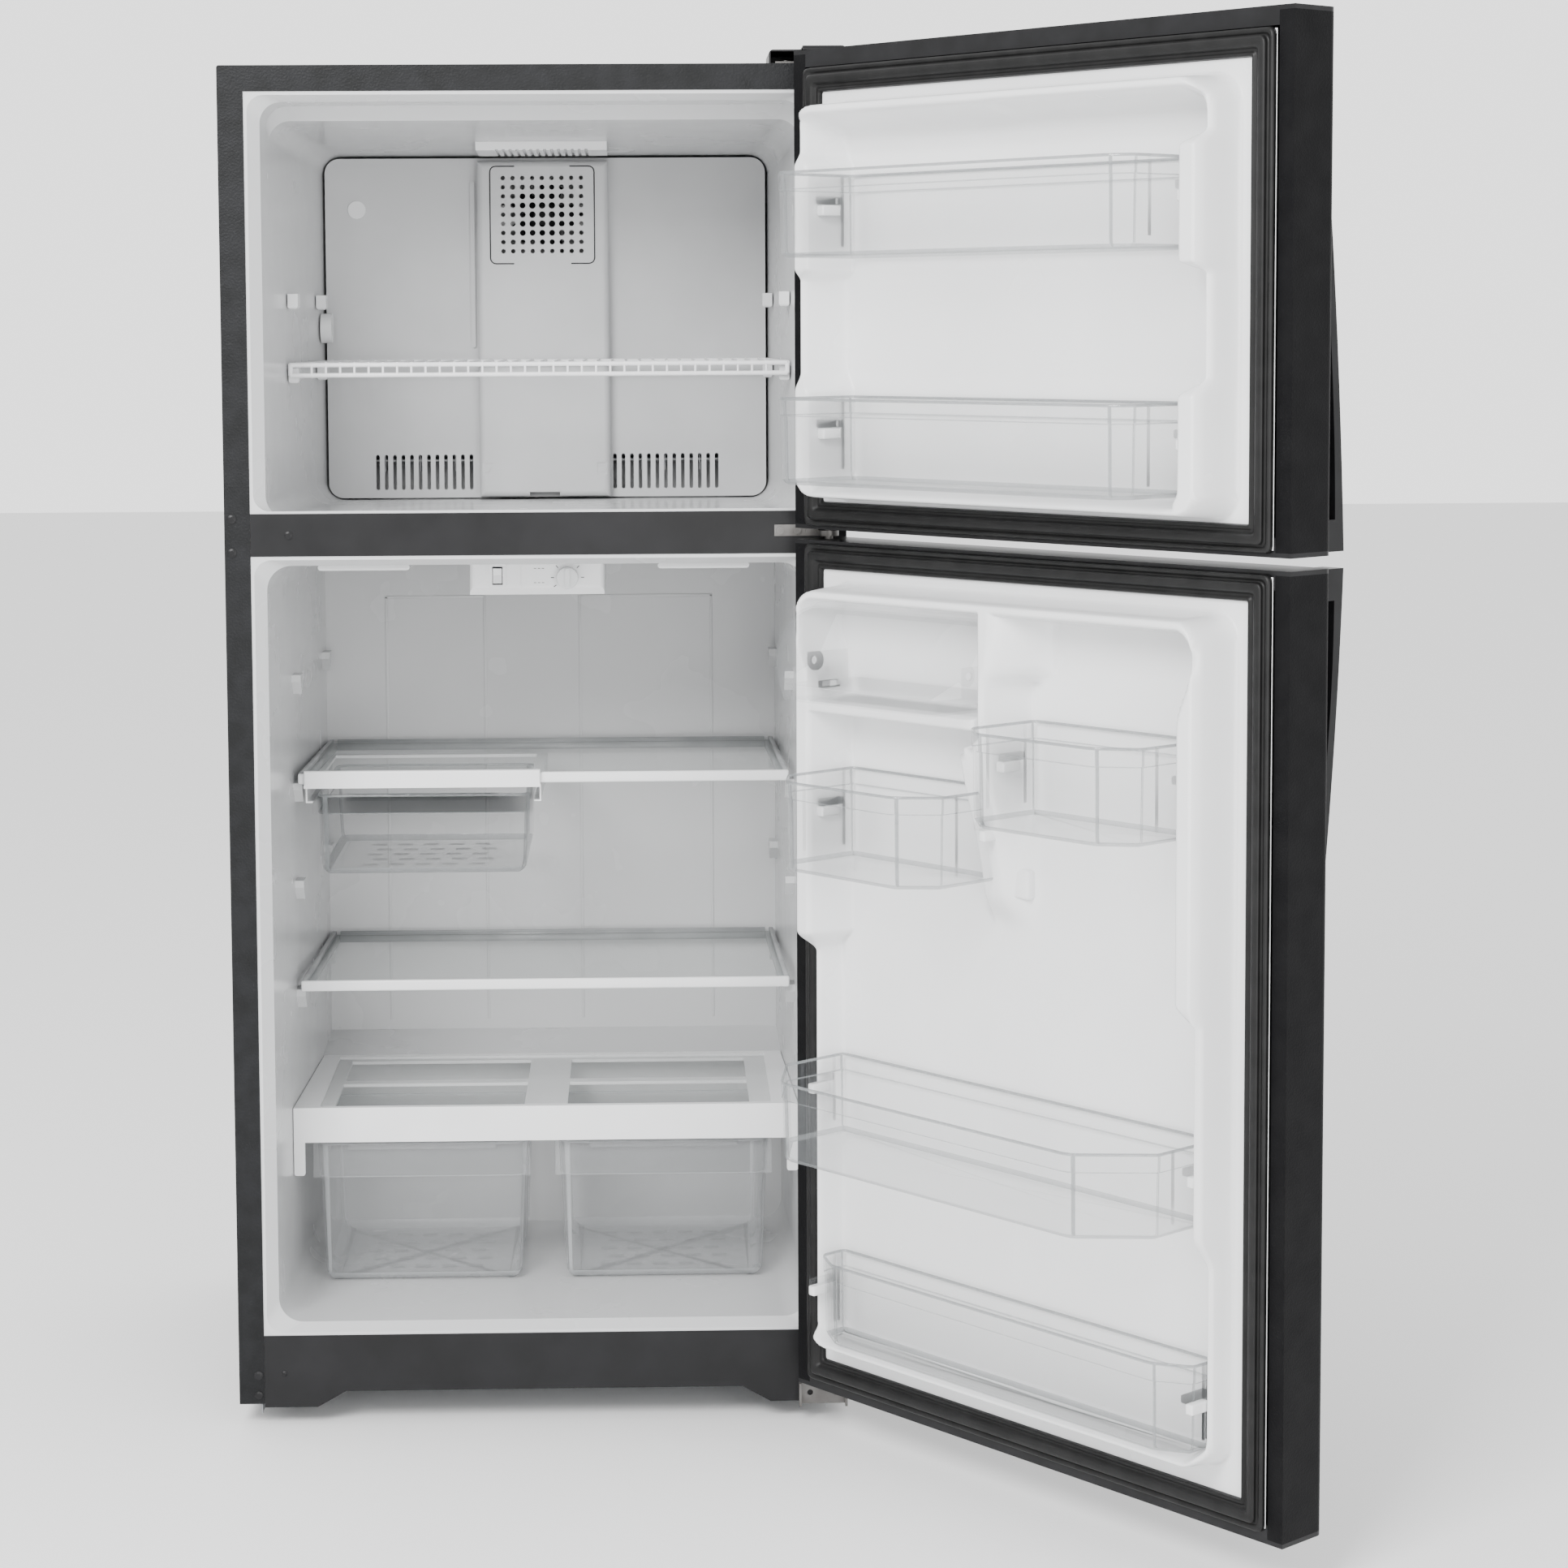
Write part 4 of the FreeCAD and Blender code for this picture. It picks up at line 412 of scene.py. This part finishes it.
def freezer_relief(x, z):
    """The freezer door's liner: a border that closes in and stands higher beside the two bins."""
    shelf = max(step(z, 1158, 1172) * (1 - step(z, 1281, 1303)),
                step(z, 1410, 1424) * (1 - step(z, 1541, 1560)))
    half = mix(RECESS_HALF, 279, shelf)
    crest = mix(36 if x < 0 else 49, CREST, shelf)
    crest = mix(crest, CREST, max(step(z, 1592, 1606), 1 - step(z, 1166, 1176)))
    ring = ring_height(x, z, crest, half, 1167, 1599, FREEZER_BORDER, mix(20, 7, shelf))
    ledge = 2.2 * shelf * step(half - abs(x), 0, 30)
    return PANEL_Y + max(ring, ledge)


def fridge_relief(x, z):
    """The fridge door's liner: its border, and beside the dairy box a broad spine and a shelf."""
    latch = x < 0
    narrow = step(z, 618, 644) * (1 - step(z, 940, 1004))
    half = mix(RECESS_HALF, 280, narrow)
    if latch:
        crest = mix(mix(24, 50, step(z, 352, 396)), CREST, step(z, 616, 644))
    else:
        crest = mix(26, CREST, step(z, 614, 644))
    crest = mix(crest, 40, 1 - step(z, 146, 160))
    ring = ring_height(x, z, crest, half, 147, 1035.8, FRIDGE_BORDER, 8)

    # the spine leans over as it rises, and narrows beside the dairy box and the right-hand bin
    spine_top = mix(10, CREST, step(z, 690, 930)) - PANEL_Y
    centre = mix(24, 0, step(z, 860, 1030))
    shift = mix(-62, 0, step(z, 618, 705))
    beside_dairy = step(z, 880, 902)
    end = mix(centre + 26, 17, beside_dairy)
    left = 1 - step(x, end - 12, end)
    beside_bin = step(z, 770, 804) * (1 - step(z, 954, 975))
    foot, top = centre - 56 + shift * 0.2, centre - 8 + shift * 0.2
    right = step(x, mix(foot, -19, beside_bin), mix(top, 2, beside_bin))
    spine = spine_top * left * right * step(z, 672, 720)

    # the slightly raised field behind the left-hand bins, and the shelf under the dairy box
    plateau = 2.4 * step(x + (z - 700) * 0.75 * (z < 700), 6, 22) * step(z, 560, 640)
    shelf = (56 - PANEL_Y) * step(x, 2, 16) * step(z, 897, 908) * (1 - step(z, 919, 925))
    out = inside(x, z, -BORDER_HALF, BORDER_HALF, *FRIDGE_BORDER, BORDER_CORNER)
    return PANEL_Y + max(ring, max(spine, plateau, shelf) * step(out, 0, BORDER_SLOPE))


def add_lug(bm, x0, x1, floor):
    """A lug on the liner's side wall for a bin whose floor is at that height."""
    low, high = LUG_RISE
    add_block(bm, (x0, LUG_Y[0], floor + low), (x1, LUG_Y[1], floor + high), 2)


def door_liners():
    xs = graded(-DOOR_HALF, DOOR_HALF, 9, 2.0, SIDE_WALLS)
    zs = graded(1123, 1660, 8, 2.0,
                [(1150, 1178), (1278, 1306), (1408, 1426), (1538, 1562), (1584, 1622)])
    bm = relief(xs, zs, freezer_relief, LINER_SHEET)
    for floor in (1435, 1176):
        for x in (-276, 276):
            add_lug(bm, min(x, x * 0.985) - 4, max(x, x * 0.985) + 4, floor)
    finish_piece(bm, "freezer_liner_moulding", "freezer_door", "white_liner",
                 ["freezer_door_liner", "freezer_door_foam"], place=TO_OPEN_DOOR)

    xs = graded(-DOOR_HALF, DOOR_HALF, 7, 2.0, SIDE_WALLS + [(-62, 42)])
    zs = graded(80, 1095, 8, 2.0, [(129, 166), (348, 398), (612, 646), (895, 927), (1012, 1058)])
    bm = relief(xs, zs, fridge_relief, LINER_SHEET)
    add_block(bm, (-22, PANEL_Y - 1, 714), (2, 5, 748), 4)  # a small boss between the upper bins
    for x0, x1, floor in ((272, 284, 731), (8, 17, 731), (-284, -272, 812), (-22, -10, 812),
                          (290, 300, 396), (-300, -290, 396), (290, 300, 150), (-300, -290, 150)):
        add_lug(bm, x0, x1, floor)
    finish_piece(bm, "fridge_liner_moulding", "fridge_door", "white_liner",
                 ["fridge_door_liner", "fridge_door_foam"], place=TO_OPEN_DOOR)


# --- door seals -----------------------------------------------------------------------

# a seal's cross-section: (distance in from the door's edge, y)
SEAL_PROFILE = [(0, -9.4), (1.0, -4.6), (4.0, -3.6), (6.5, -6.8), (8.5, -7.4), (10, -4.0),
                (9.0, -1.8), (11.0, -0.8), (17.0, -0.7), (19.5, -2.2), (21.0, -5.4), (23.0, -6.8),
                (25.0, -5.6), (26.0, -4.0), (28.5, -4.4), (30, -9.4)]


def seal(name, low, high, body):
    """The folded seal, swept round the door between two heights."""
    def loop(d, y):
        side = DOOR_HALF - d
        corners = [Vector((-side, low + d)), Vector((side, low + d)), Vector((side, high - d)),
                   Vector((-side, high - d))]
        return [(p.x, y, p.y) for p in rounded(corners, [max(2.0, 9 - d * 0.2)] * 4, 4)]

    bm = bmesh.new()
    rows = lofted(bm, [loop(d, y) for d, y in SEAL_PROFILE])
    for k in range(len(rows[0])):
        after = (k + 1) % len(rows[0])
        bm.faces.new((rows[-1][k], rows[-1][after], rows[0][after], rows[0][k]))
    finish_piece(bm, name, body, "seal_rubber", [name.replace("folded_", "")], place=TO_OPEN_DOOR)


# --- door bins ------------------------------------------------------------------------

# name: lowest x, highest x, front y, shoulder y, floor z, rim z, width of the slanted front corners
BINS = {
    "freezer_upper_bin": (-272, 272, 130, 112, 1435, 1533, 24),
    "freezer_lower_bin": (-272, 272, 130, 112, 1176, 1276, 24),
    "fridge_bin_upper_left": (18, 272, 140, 100, 731, 837, 40),
    "fridge_bin_upper_right": (-272, -22, 130, 96, 812, 918, 40),
    "fridge_bin_lower": (-290, 290, 157, 88, 396, 490, 66),
    "fridge_bin_bottom": (-290, 290, 54, 30, 150, 250, 40),
}
BIN_CORNERS = [10, 10, 12, 30, 30, 12]  # radii, in the order of door_bins' corners
BIN_WALL, BIN_DRAFT, BIN_EDGE, BIN_BAND = 2.4, 3.0, 9.0, 20.0
BIN_GAP = 3.5  # between a bin's back and the liner's flat wall


def door_bins():
    """Six clear bins, each with an ear and two ribs on either side."""
    for name, (x0, x1, front, shoulder, low, rim, slant) in BINS.items():
        back = PANEL_Y + BIN_GAP
        corners = [Vector(p) for p in ((x0, back), (x1, back), (x1, shoulder), (x1 - slant, front),
                                       (x0 + slant, front), (x0, shoulder))]
        outline = rounded(corners, BIN_CORNERS)
        bm = bin_shell(outline, low, rim, BIN_WALL, BIN_DRAFT, BIN_EDGE, BIN_BAND)
        for x, side in ((x0, -1), (x1, 1)):
            ear = sorted((x + side * 5, x - side * 3))
            add_block(bm, (ear[0], 12, low + 63), (ear[1], 48, low + 72), 1.5)
            rib = sorted((x - side * 0.5, x - side * 3.5))
            for y in (10, shoulder - 26):
                add_block(bm, (rib[0], y, low + 14), (rib[1], y + 3, rim - 2), 1.0)
        # the bin's rims, lower edges and corners take the darker edge copy: painted shade
        finish_piece(bm, name + "_shell", name, "clear_plastic", [name], place=TO_OPEN_DOOR,
                     edge_finish="clear_edge")


# --- drawers --------------------------------------------------------------------------

# name: lowest x, highest x, front y, back y, floor z, rim z, draft, lower edge radius,
# height of the band under the rim, finish
DRAWERS = {
    "crisper_drawer_left": (-296, -25, 176, 452, 127.5, 312, 8, 18, 44, "frosted"),
    "crisper_drawer_right": (15, 286, 176, 452, 127.5, 312, 8, 18, 44, "frosted"),
    "snack_drawer": (-293, -18, 204, 500, 655, 760, 5, 14, 24, "clear"),
}
DRAWER_WALL, DRAWER_CORNER = 2.5, 22
RIB_ROWS = RIB_COLUMNS = 5


def floor_ribs(bm, x0, x1, y0, y1, z):
    """Short raised ribs in staggered rows, which keep food off the drawer's floor."""
    for row in range(RIB_ROWS):
        y = mix(y0, y1, (row + 0.5) / RIB_ROWS)
        for column in range(RIB_COLUMNS):
            x = mix(x0, x1, (column + 0.35 + 0.3 * (row % 2)) / RIB_COLUMNS)
            add_block(bm, (x - 10, y - 2.5, z - 0.5), (x + 10, y + 2.5, z + 1.4), 0.8)


def drawers():
    """Two frosted crispers and the clear snack drawer, which hangs from a runner on each side."""
    for name, (x0, x1, y0, y1, low, rim, draft, edge_r, band, finish) in DRAWERS.items():
        corners = [Vector(p) for p in ((x0, y0), (x0, y1), (x1, y1), (x1, y0))]
        outline = rounded(list(reversed(corners)), [DRAWER_CORNER] * 4)
        bm = bin_shell(outline, low, rim, DRAWER_WALL, draft, edge_r, band)
        floor_ribs(bm, x0 + 50, x1 - 50, y0 + 50, y1 - 40, low + DRAWER_WALL)
        add_block(bm, (x0 - 4, y0 - 5, rim - band), (x1 + 4, y0 - 1, rim + 2), 1.8)
        add_block(bm, (x0 + 40, y0 - 9, rim - 7), (x1 - 40, y0 - 4, rim + 2), 2)
        if finish == "clear":
            for a, b in ((x0 - 10, x0 + 1.5), (x1 - 1.5, x1 + 10)):
                add_block(bm, (a, y0 + 16, rim - 9.2), (b, y1 - 20, rim - 6.7), 0.8)
        # the drawer's rims, lower edges and corners take the darker edge copy: painted shade
        finish_piece(bm, name + "_shell", name, finish + "_plastic", [name],
                     edge_finish=finish + "_edge")


# --- glass shelves' frames ------------------------------------------------------------

SHELF_FRONT, SHELF_BACK, HALF_FRONT, HALF_BACK = 200.0, 552.0, 315.0, 307.0
SHELF_TOPS = (("upper_shelf_frame", 788.0), ("middle_shelf_frame", 519.0))
FRAME_DEPTH, LEDGE_DROP = 14, 5.2
# strips of the rails: nearer and farther distance from the frame's edge, and drop below its top
RAIL_STRIPS = ((0, 5.8, 0), (5.8, 11, LEDGE_DROP))


def prism(bm, plan, z0, z1):
    """An upright bar whose plan is a polygon; its faces take the edge finish."""
    low, high = ([bm.verts.new((x, y, z)) for x, y in plan] for z in (z0, z1))
    faces = [bm.faces.new(low), bm.faces.new(list(reversed(high)))]
    faces += [bm.faces.new((low[k], low[k - 1], high[k - 1], high[k])) for k in range(len(plan))]
    for face in faces:
        face.material_index = 1


def shelf_frames():
    """A white bar in front, and thin grey rails with a ledge for the glass on the other sides."""
    def half(y, distance):
        along = (y - SHELF_FRONT) / (SHELF_BACK - SHELF_FRONT)
        return mix(HALF_FRONT, HALF_BACK, along) - distance

    for name, top in SHELF_TOPS:
        low = top - FRAME_DEPTH
        bm = bmesh.new()
        add_block(bm, (-HALF_FRONT, SHELF_FRONT, low), (HALF_FRONT, SHELF_FRONT + 6, top), 2.5)
        add_block(bm, (5 - HALF_FRONT, SHELF_FRONT + 5, low),
                  (HALF_FRONT - 5, SHELF_FRONT + 11, top - LEDGE_DROP), 1)
        y0, y1 = SHELF_FRONT + 6, SHELF_BACK
        for side in (-1, 1):
            for near, far, drop in RAIL_STRIPS:
                plan = [(side * half(y0, near), y0), (side * half(y1, near), y1),
                        (side * half(y1, far), y1), (side * half(y0, far), y0)]
                prism(bm, plan, low, top - drop)
        back = half(y1, RAIL_STRIPS[-1][1])
        for near, far, drop in RAIL_STRIPS:
            plan = [(-back, y1 - near), (back, y1 - near), (back, y1 - far), (-back, y1 - far)]
            prism(bm, plan, low, top - drop)
        finish_piece(bm, name + "_bars", "cabinet", "white_trim", [name],
                     edge_finish="rail_plastic")


# --- small mouldings and marks --------------------------------------------------------

DIAL = (34.4, 142.0, 1042.8)  # the dial's middle, on the control housing's face
MARK_ANGLES, MARK_DISTANCE = (0, 45, 134, 180, 214), 19
MARK_HALF_LENGTH, MARK_HALF_WIDTH = 2, 0.5
INK_PROUD, INK_SUNK = 0.15, 0.4  # how far printed marks stand out of a face and reach into it
GRILLE = (-74, 67, 1443, 1574)  # lowest x, highest x, lowest z, highest z
GRILLE_CORNER, SEAM_HALF, SEAM_Y = 8.5, 0.8, (490.1, 490.8)
SEAM_GAP = (0.2, 0.8)  # the part of the grille's top and bottom sides that the seam leaves out
RIB_Y = (558.9, 560.4)


def turned_bar(bm, x, y, z, distance, degrees):
    """A short printed bar that points at (x, z), at a distance and angle from it."""
    a = math.radians(degrees)
    along, across = Vector((math.cos(a), 0, math.sin(a))), Vector((-math.sin(a), 0, math.cos(a)))
    centre = Vector((x, y, z)) + along * distance
    corners = [centre + along * i * MARK_HALF_LENGTH + across * j * MARK_HALF_WIDTH
               for i, j in ((-1, -1), (1, -1), (1, 1), (-1, 1))]
    near = [bm.verts.new(corner + Vector((0, -INK_PROUD, 0))) for corner in corners]
    far = [bm.verts.new(corner + Vector((0, INK_SUNK, 0))) for corner in corners]
    bm.faces.new(near)
    bm.faces.new(list(reversed(far)))
    for k in range(4):
        bm.faces.new((near[k], near[k - 1], far[k - 1], far[k]))


def dial_marks():
    """Bars round the dial, and two short dashed rows in place of its wording."""
    bm = bmesh.new()
    for degrees in MARK_ANGLES:
        turned_bar(bm, *DIAL, MARK_DISTANCE, degrees)
    for z in (1054, 1036):
        for x in (-8, -3, 2):
            add_block(bm, (x, 141.85, z), (x + 3, 142.4, z + 0.8), 0.1)
    finish_piece(bm, "dial_marks", "cabinet", "printed_ink", None)


def grille_seam():
    """The dark joint line round the grille, broken at the middle of its top and bottom."""
    x0, x1, z0, z1 = GRILLE
    front, back = SEAM_Y

    def loop(grow, y):
        corners = [Vector((x0 - grow, z0 - grow)), Vector((x1 + grow, z0 - grow)),
                   Vector((x1 + grow, z1 + grow)), Vector((x0 - grow, z1 + grow))]
        return [(p.x, y, p.y) for p in rounded(corners, [GRILLE_CORNER + grow] * 4)]

    loops = [loop(grow, y) for grow, y in ((-SEAM_HALF, front), (SEAM_HALF, front),
                                           (SEAM_HALF, back), (-SEAM_HALF, back))]
    bm = bmesh.new()
    for k in range(len(loops[0])):
        after = (k + 1) % len(loops[0])
        low, high = sorted((loops[0][k][0], loops[0][after][0]))
        broken = low < 0 < high
        spans = [(0.0, SEAM_GAP[0]), (SEAM_GAP[1], 1.0)] if broken else [(0.0, 1.0)]
        for span in spans:
            ends = [[bm.verts.new(Vector(ring[k]).lerp(Vector(ring[after]), t)) for ring in loops]
                    for t in span]
            for i in range(len(loops)):
                bm.faces.new((ends[0][i], ends[0][i - 1], ends[1][i - 1], ends[1][i]))
            bm.faces.new(ends[0])
            bm.faces.new(list(reversed(ends[1])))
    finish_piece(bm, "grille_seam", "cabinet", "printed_ink", None)


def back_wall_ribs():
    """Thin raised lines moulded on the fridge liner's back wall."""
    front, back = RIB_Y
    bm = bmesh.new()
    for x in (-227, -91, 41, 223):
        add_block(bm, (x - 1.8, front, 392), (x + 1.8, back, 986), 0.6)
    for x0, x1 in ((-229, -92), (43, 225)):
        add_block(bm, (x0, front, 983), (x1, back, 987), 0.6)
    # the ribs take the liner's darker copy of the white plastic: painted shade
    finish_piece(bm, "back_wall_ribs", "cabinet", "cavity_liner_painted_shade", None)


door_liners()
seal("folded_freezer_door_gasket", 1119, 1662, "freezer_door")
seal("folded_fridge_door_gasket", 75, 1098, "fridge_door")
door_bins()
drawers()
shelf_frames()
dial_marks()
grille_seam()
back_wall_ribs()


# --- floor, light and camera ----------------------------------------------------------

FRONT_LIGHT, BACKDROP_LIGHT = 1.25, 2.1  # the room's brightness before the machine and behind it
ROOM_RAMP = (-0.1, 0.7)  # where that change starts and ends, along the Y of a direction
FLOOR_SIDE = 40  # metres


def studio():
    """A pale floor in a white room that is brightest behind the machine."""
    bpy.ops.mesh.primitive_plane_add(size=1)
    floor = bpy.context.object
    floor.name = "floor"
    floor.scale = (FLOOR_SIDE, FLOOR_SIDE, 1)
    pale = Surface("floor_paint", (0.95, 0.95, 0.95), 0.8).mottled(
        (0.945, 0.945, 0.945), (0.955, 0.955, 0.955), 2)
    floor.data.materials.append(pale.material)

    world = bpy.data.worlds.new("studio")
    world.use_nodes = True
    tree = world.node_tree
    sky = tree.nodes["Background"]
    sky.inputs["Color"].default_value = (1, 1, 1, 1)
    way = tree.nodes.new("ShaderNodeTexCoord").outputs["Generated"]
    axes = tree.nodes.new("ShaderNodeSeparateXYZ")
    brightness = tree.nodes.new("ShaderNodeMapRange")
    for key, value in (("From Min", ROOM_RAMP[0]), ("From Max", ROOM_RAMP[1]),
                       ("To Min", FRONT_LIGHT), ("To Max", BACKDROP_LIGHT)):
        brightness.inputs[key].default_value = value
    tree.links.new(way, axes.inputs["Vector"])
    tree.links.new(axes.outputs["Y"], brightness.inputs["Value"])
    tree.links.new(brightness.outputs["Result"], sky.inputs["Strength"])
    bpy.context.scene.world = world


def lamp(name, place, target, size, power):
    """A rectangular soft light aimed at a point: metres and watts."""
    data = bpy.data.lights.new(name, "AREA")
    data.shape = "RECTANGLE"
    data.size, data.size_y = size
    data.energy = power
    obj = bpy.data.objects.new(name, data)
    bpy.context.collection.objects.link(obj)
    obj.location = place
    obj.rotation_mode = "QUATERNION"
    obj.rotation_quaternion = (Vector(target) - Vector(place)).to_track_quat("-Z", "Y")


CAMERA_PLACE = (0.1337, -4.3623, 1.3622)
CAMERA_YAW, CAMERA_PITCH, CAMERA_ROLL = -1.297, 4.714, -0.316  # degrees
SENSOR, LENS = 36, 76.14  # millimetres
SHIFT_X, SHIFT_Y = 0.04, -0.12


def camera():
    data = bpy.data.cameras.new("camera")
    data.sensor_width = SENSOR
    data.lens = LENS
    data.shift_x, data.shift_y = SHIFT_X, SHIFT_Y
    obj = bpy.data.objects.new("camera", data)
    bpy.context.collection.objects.link(obj)
    aim = Euler((math.radians(90 - CAMERA_PITCH), 0, math.radians(CAMERA_YAW))).to_matrix()
    roll = Matrix.Rotation(math.radians(CAMERA_ROLL), 3, "Z")
    obj.rotation_mode = "QUATERNION"
    obj.rotation_quaternion = (aim @ roll).to_quaternion()
    obj.location = CAMERA_PLACE
    bpy.context.scene.camera = obj


studio()
lamp("key", (-1.4, -3.8, 3.3), (0.1, 0, 0.9), (1.8, 1.8), 260)
lamp("fill", (1.6, -4.4, 1.2), (0.2, 0, 0.7), (2.4, 2.6), 85)
camera()
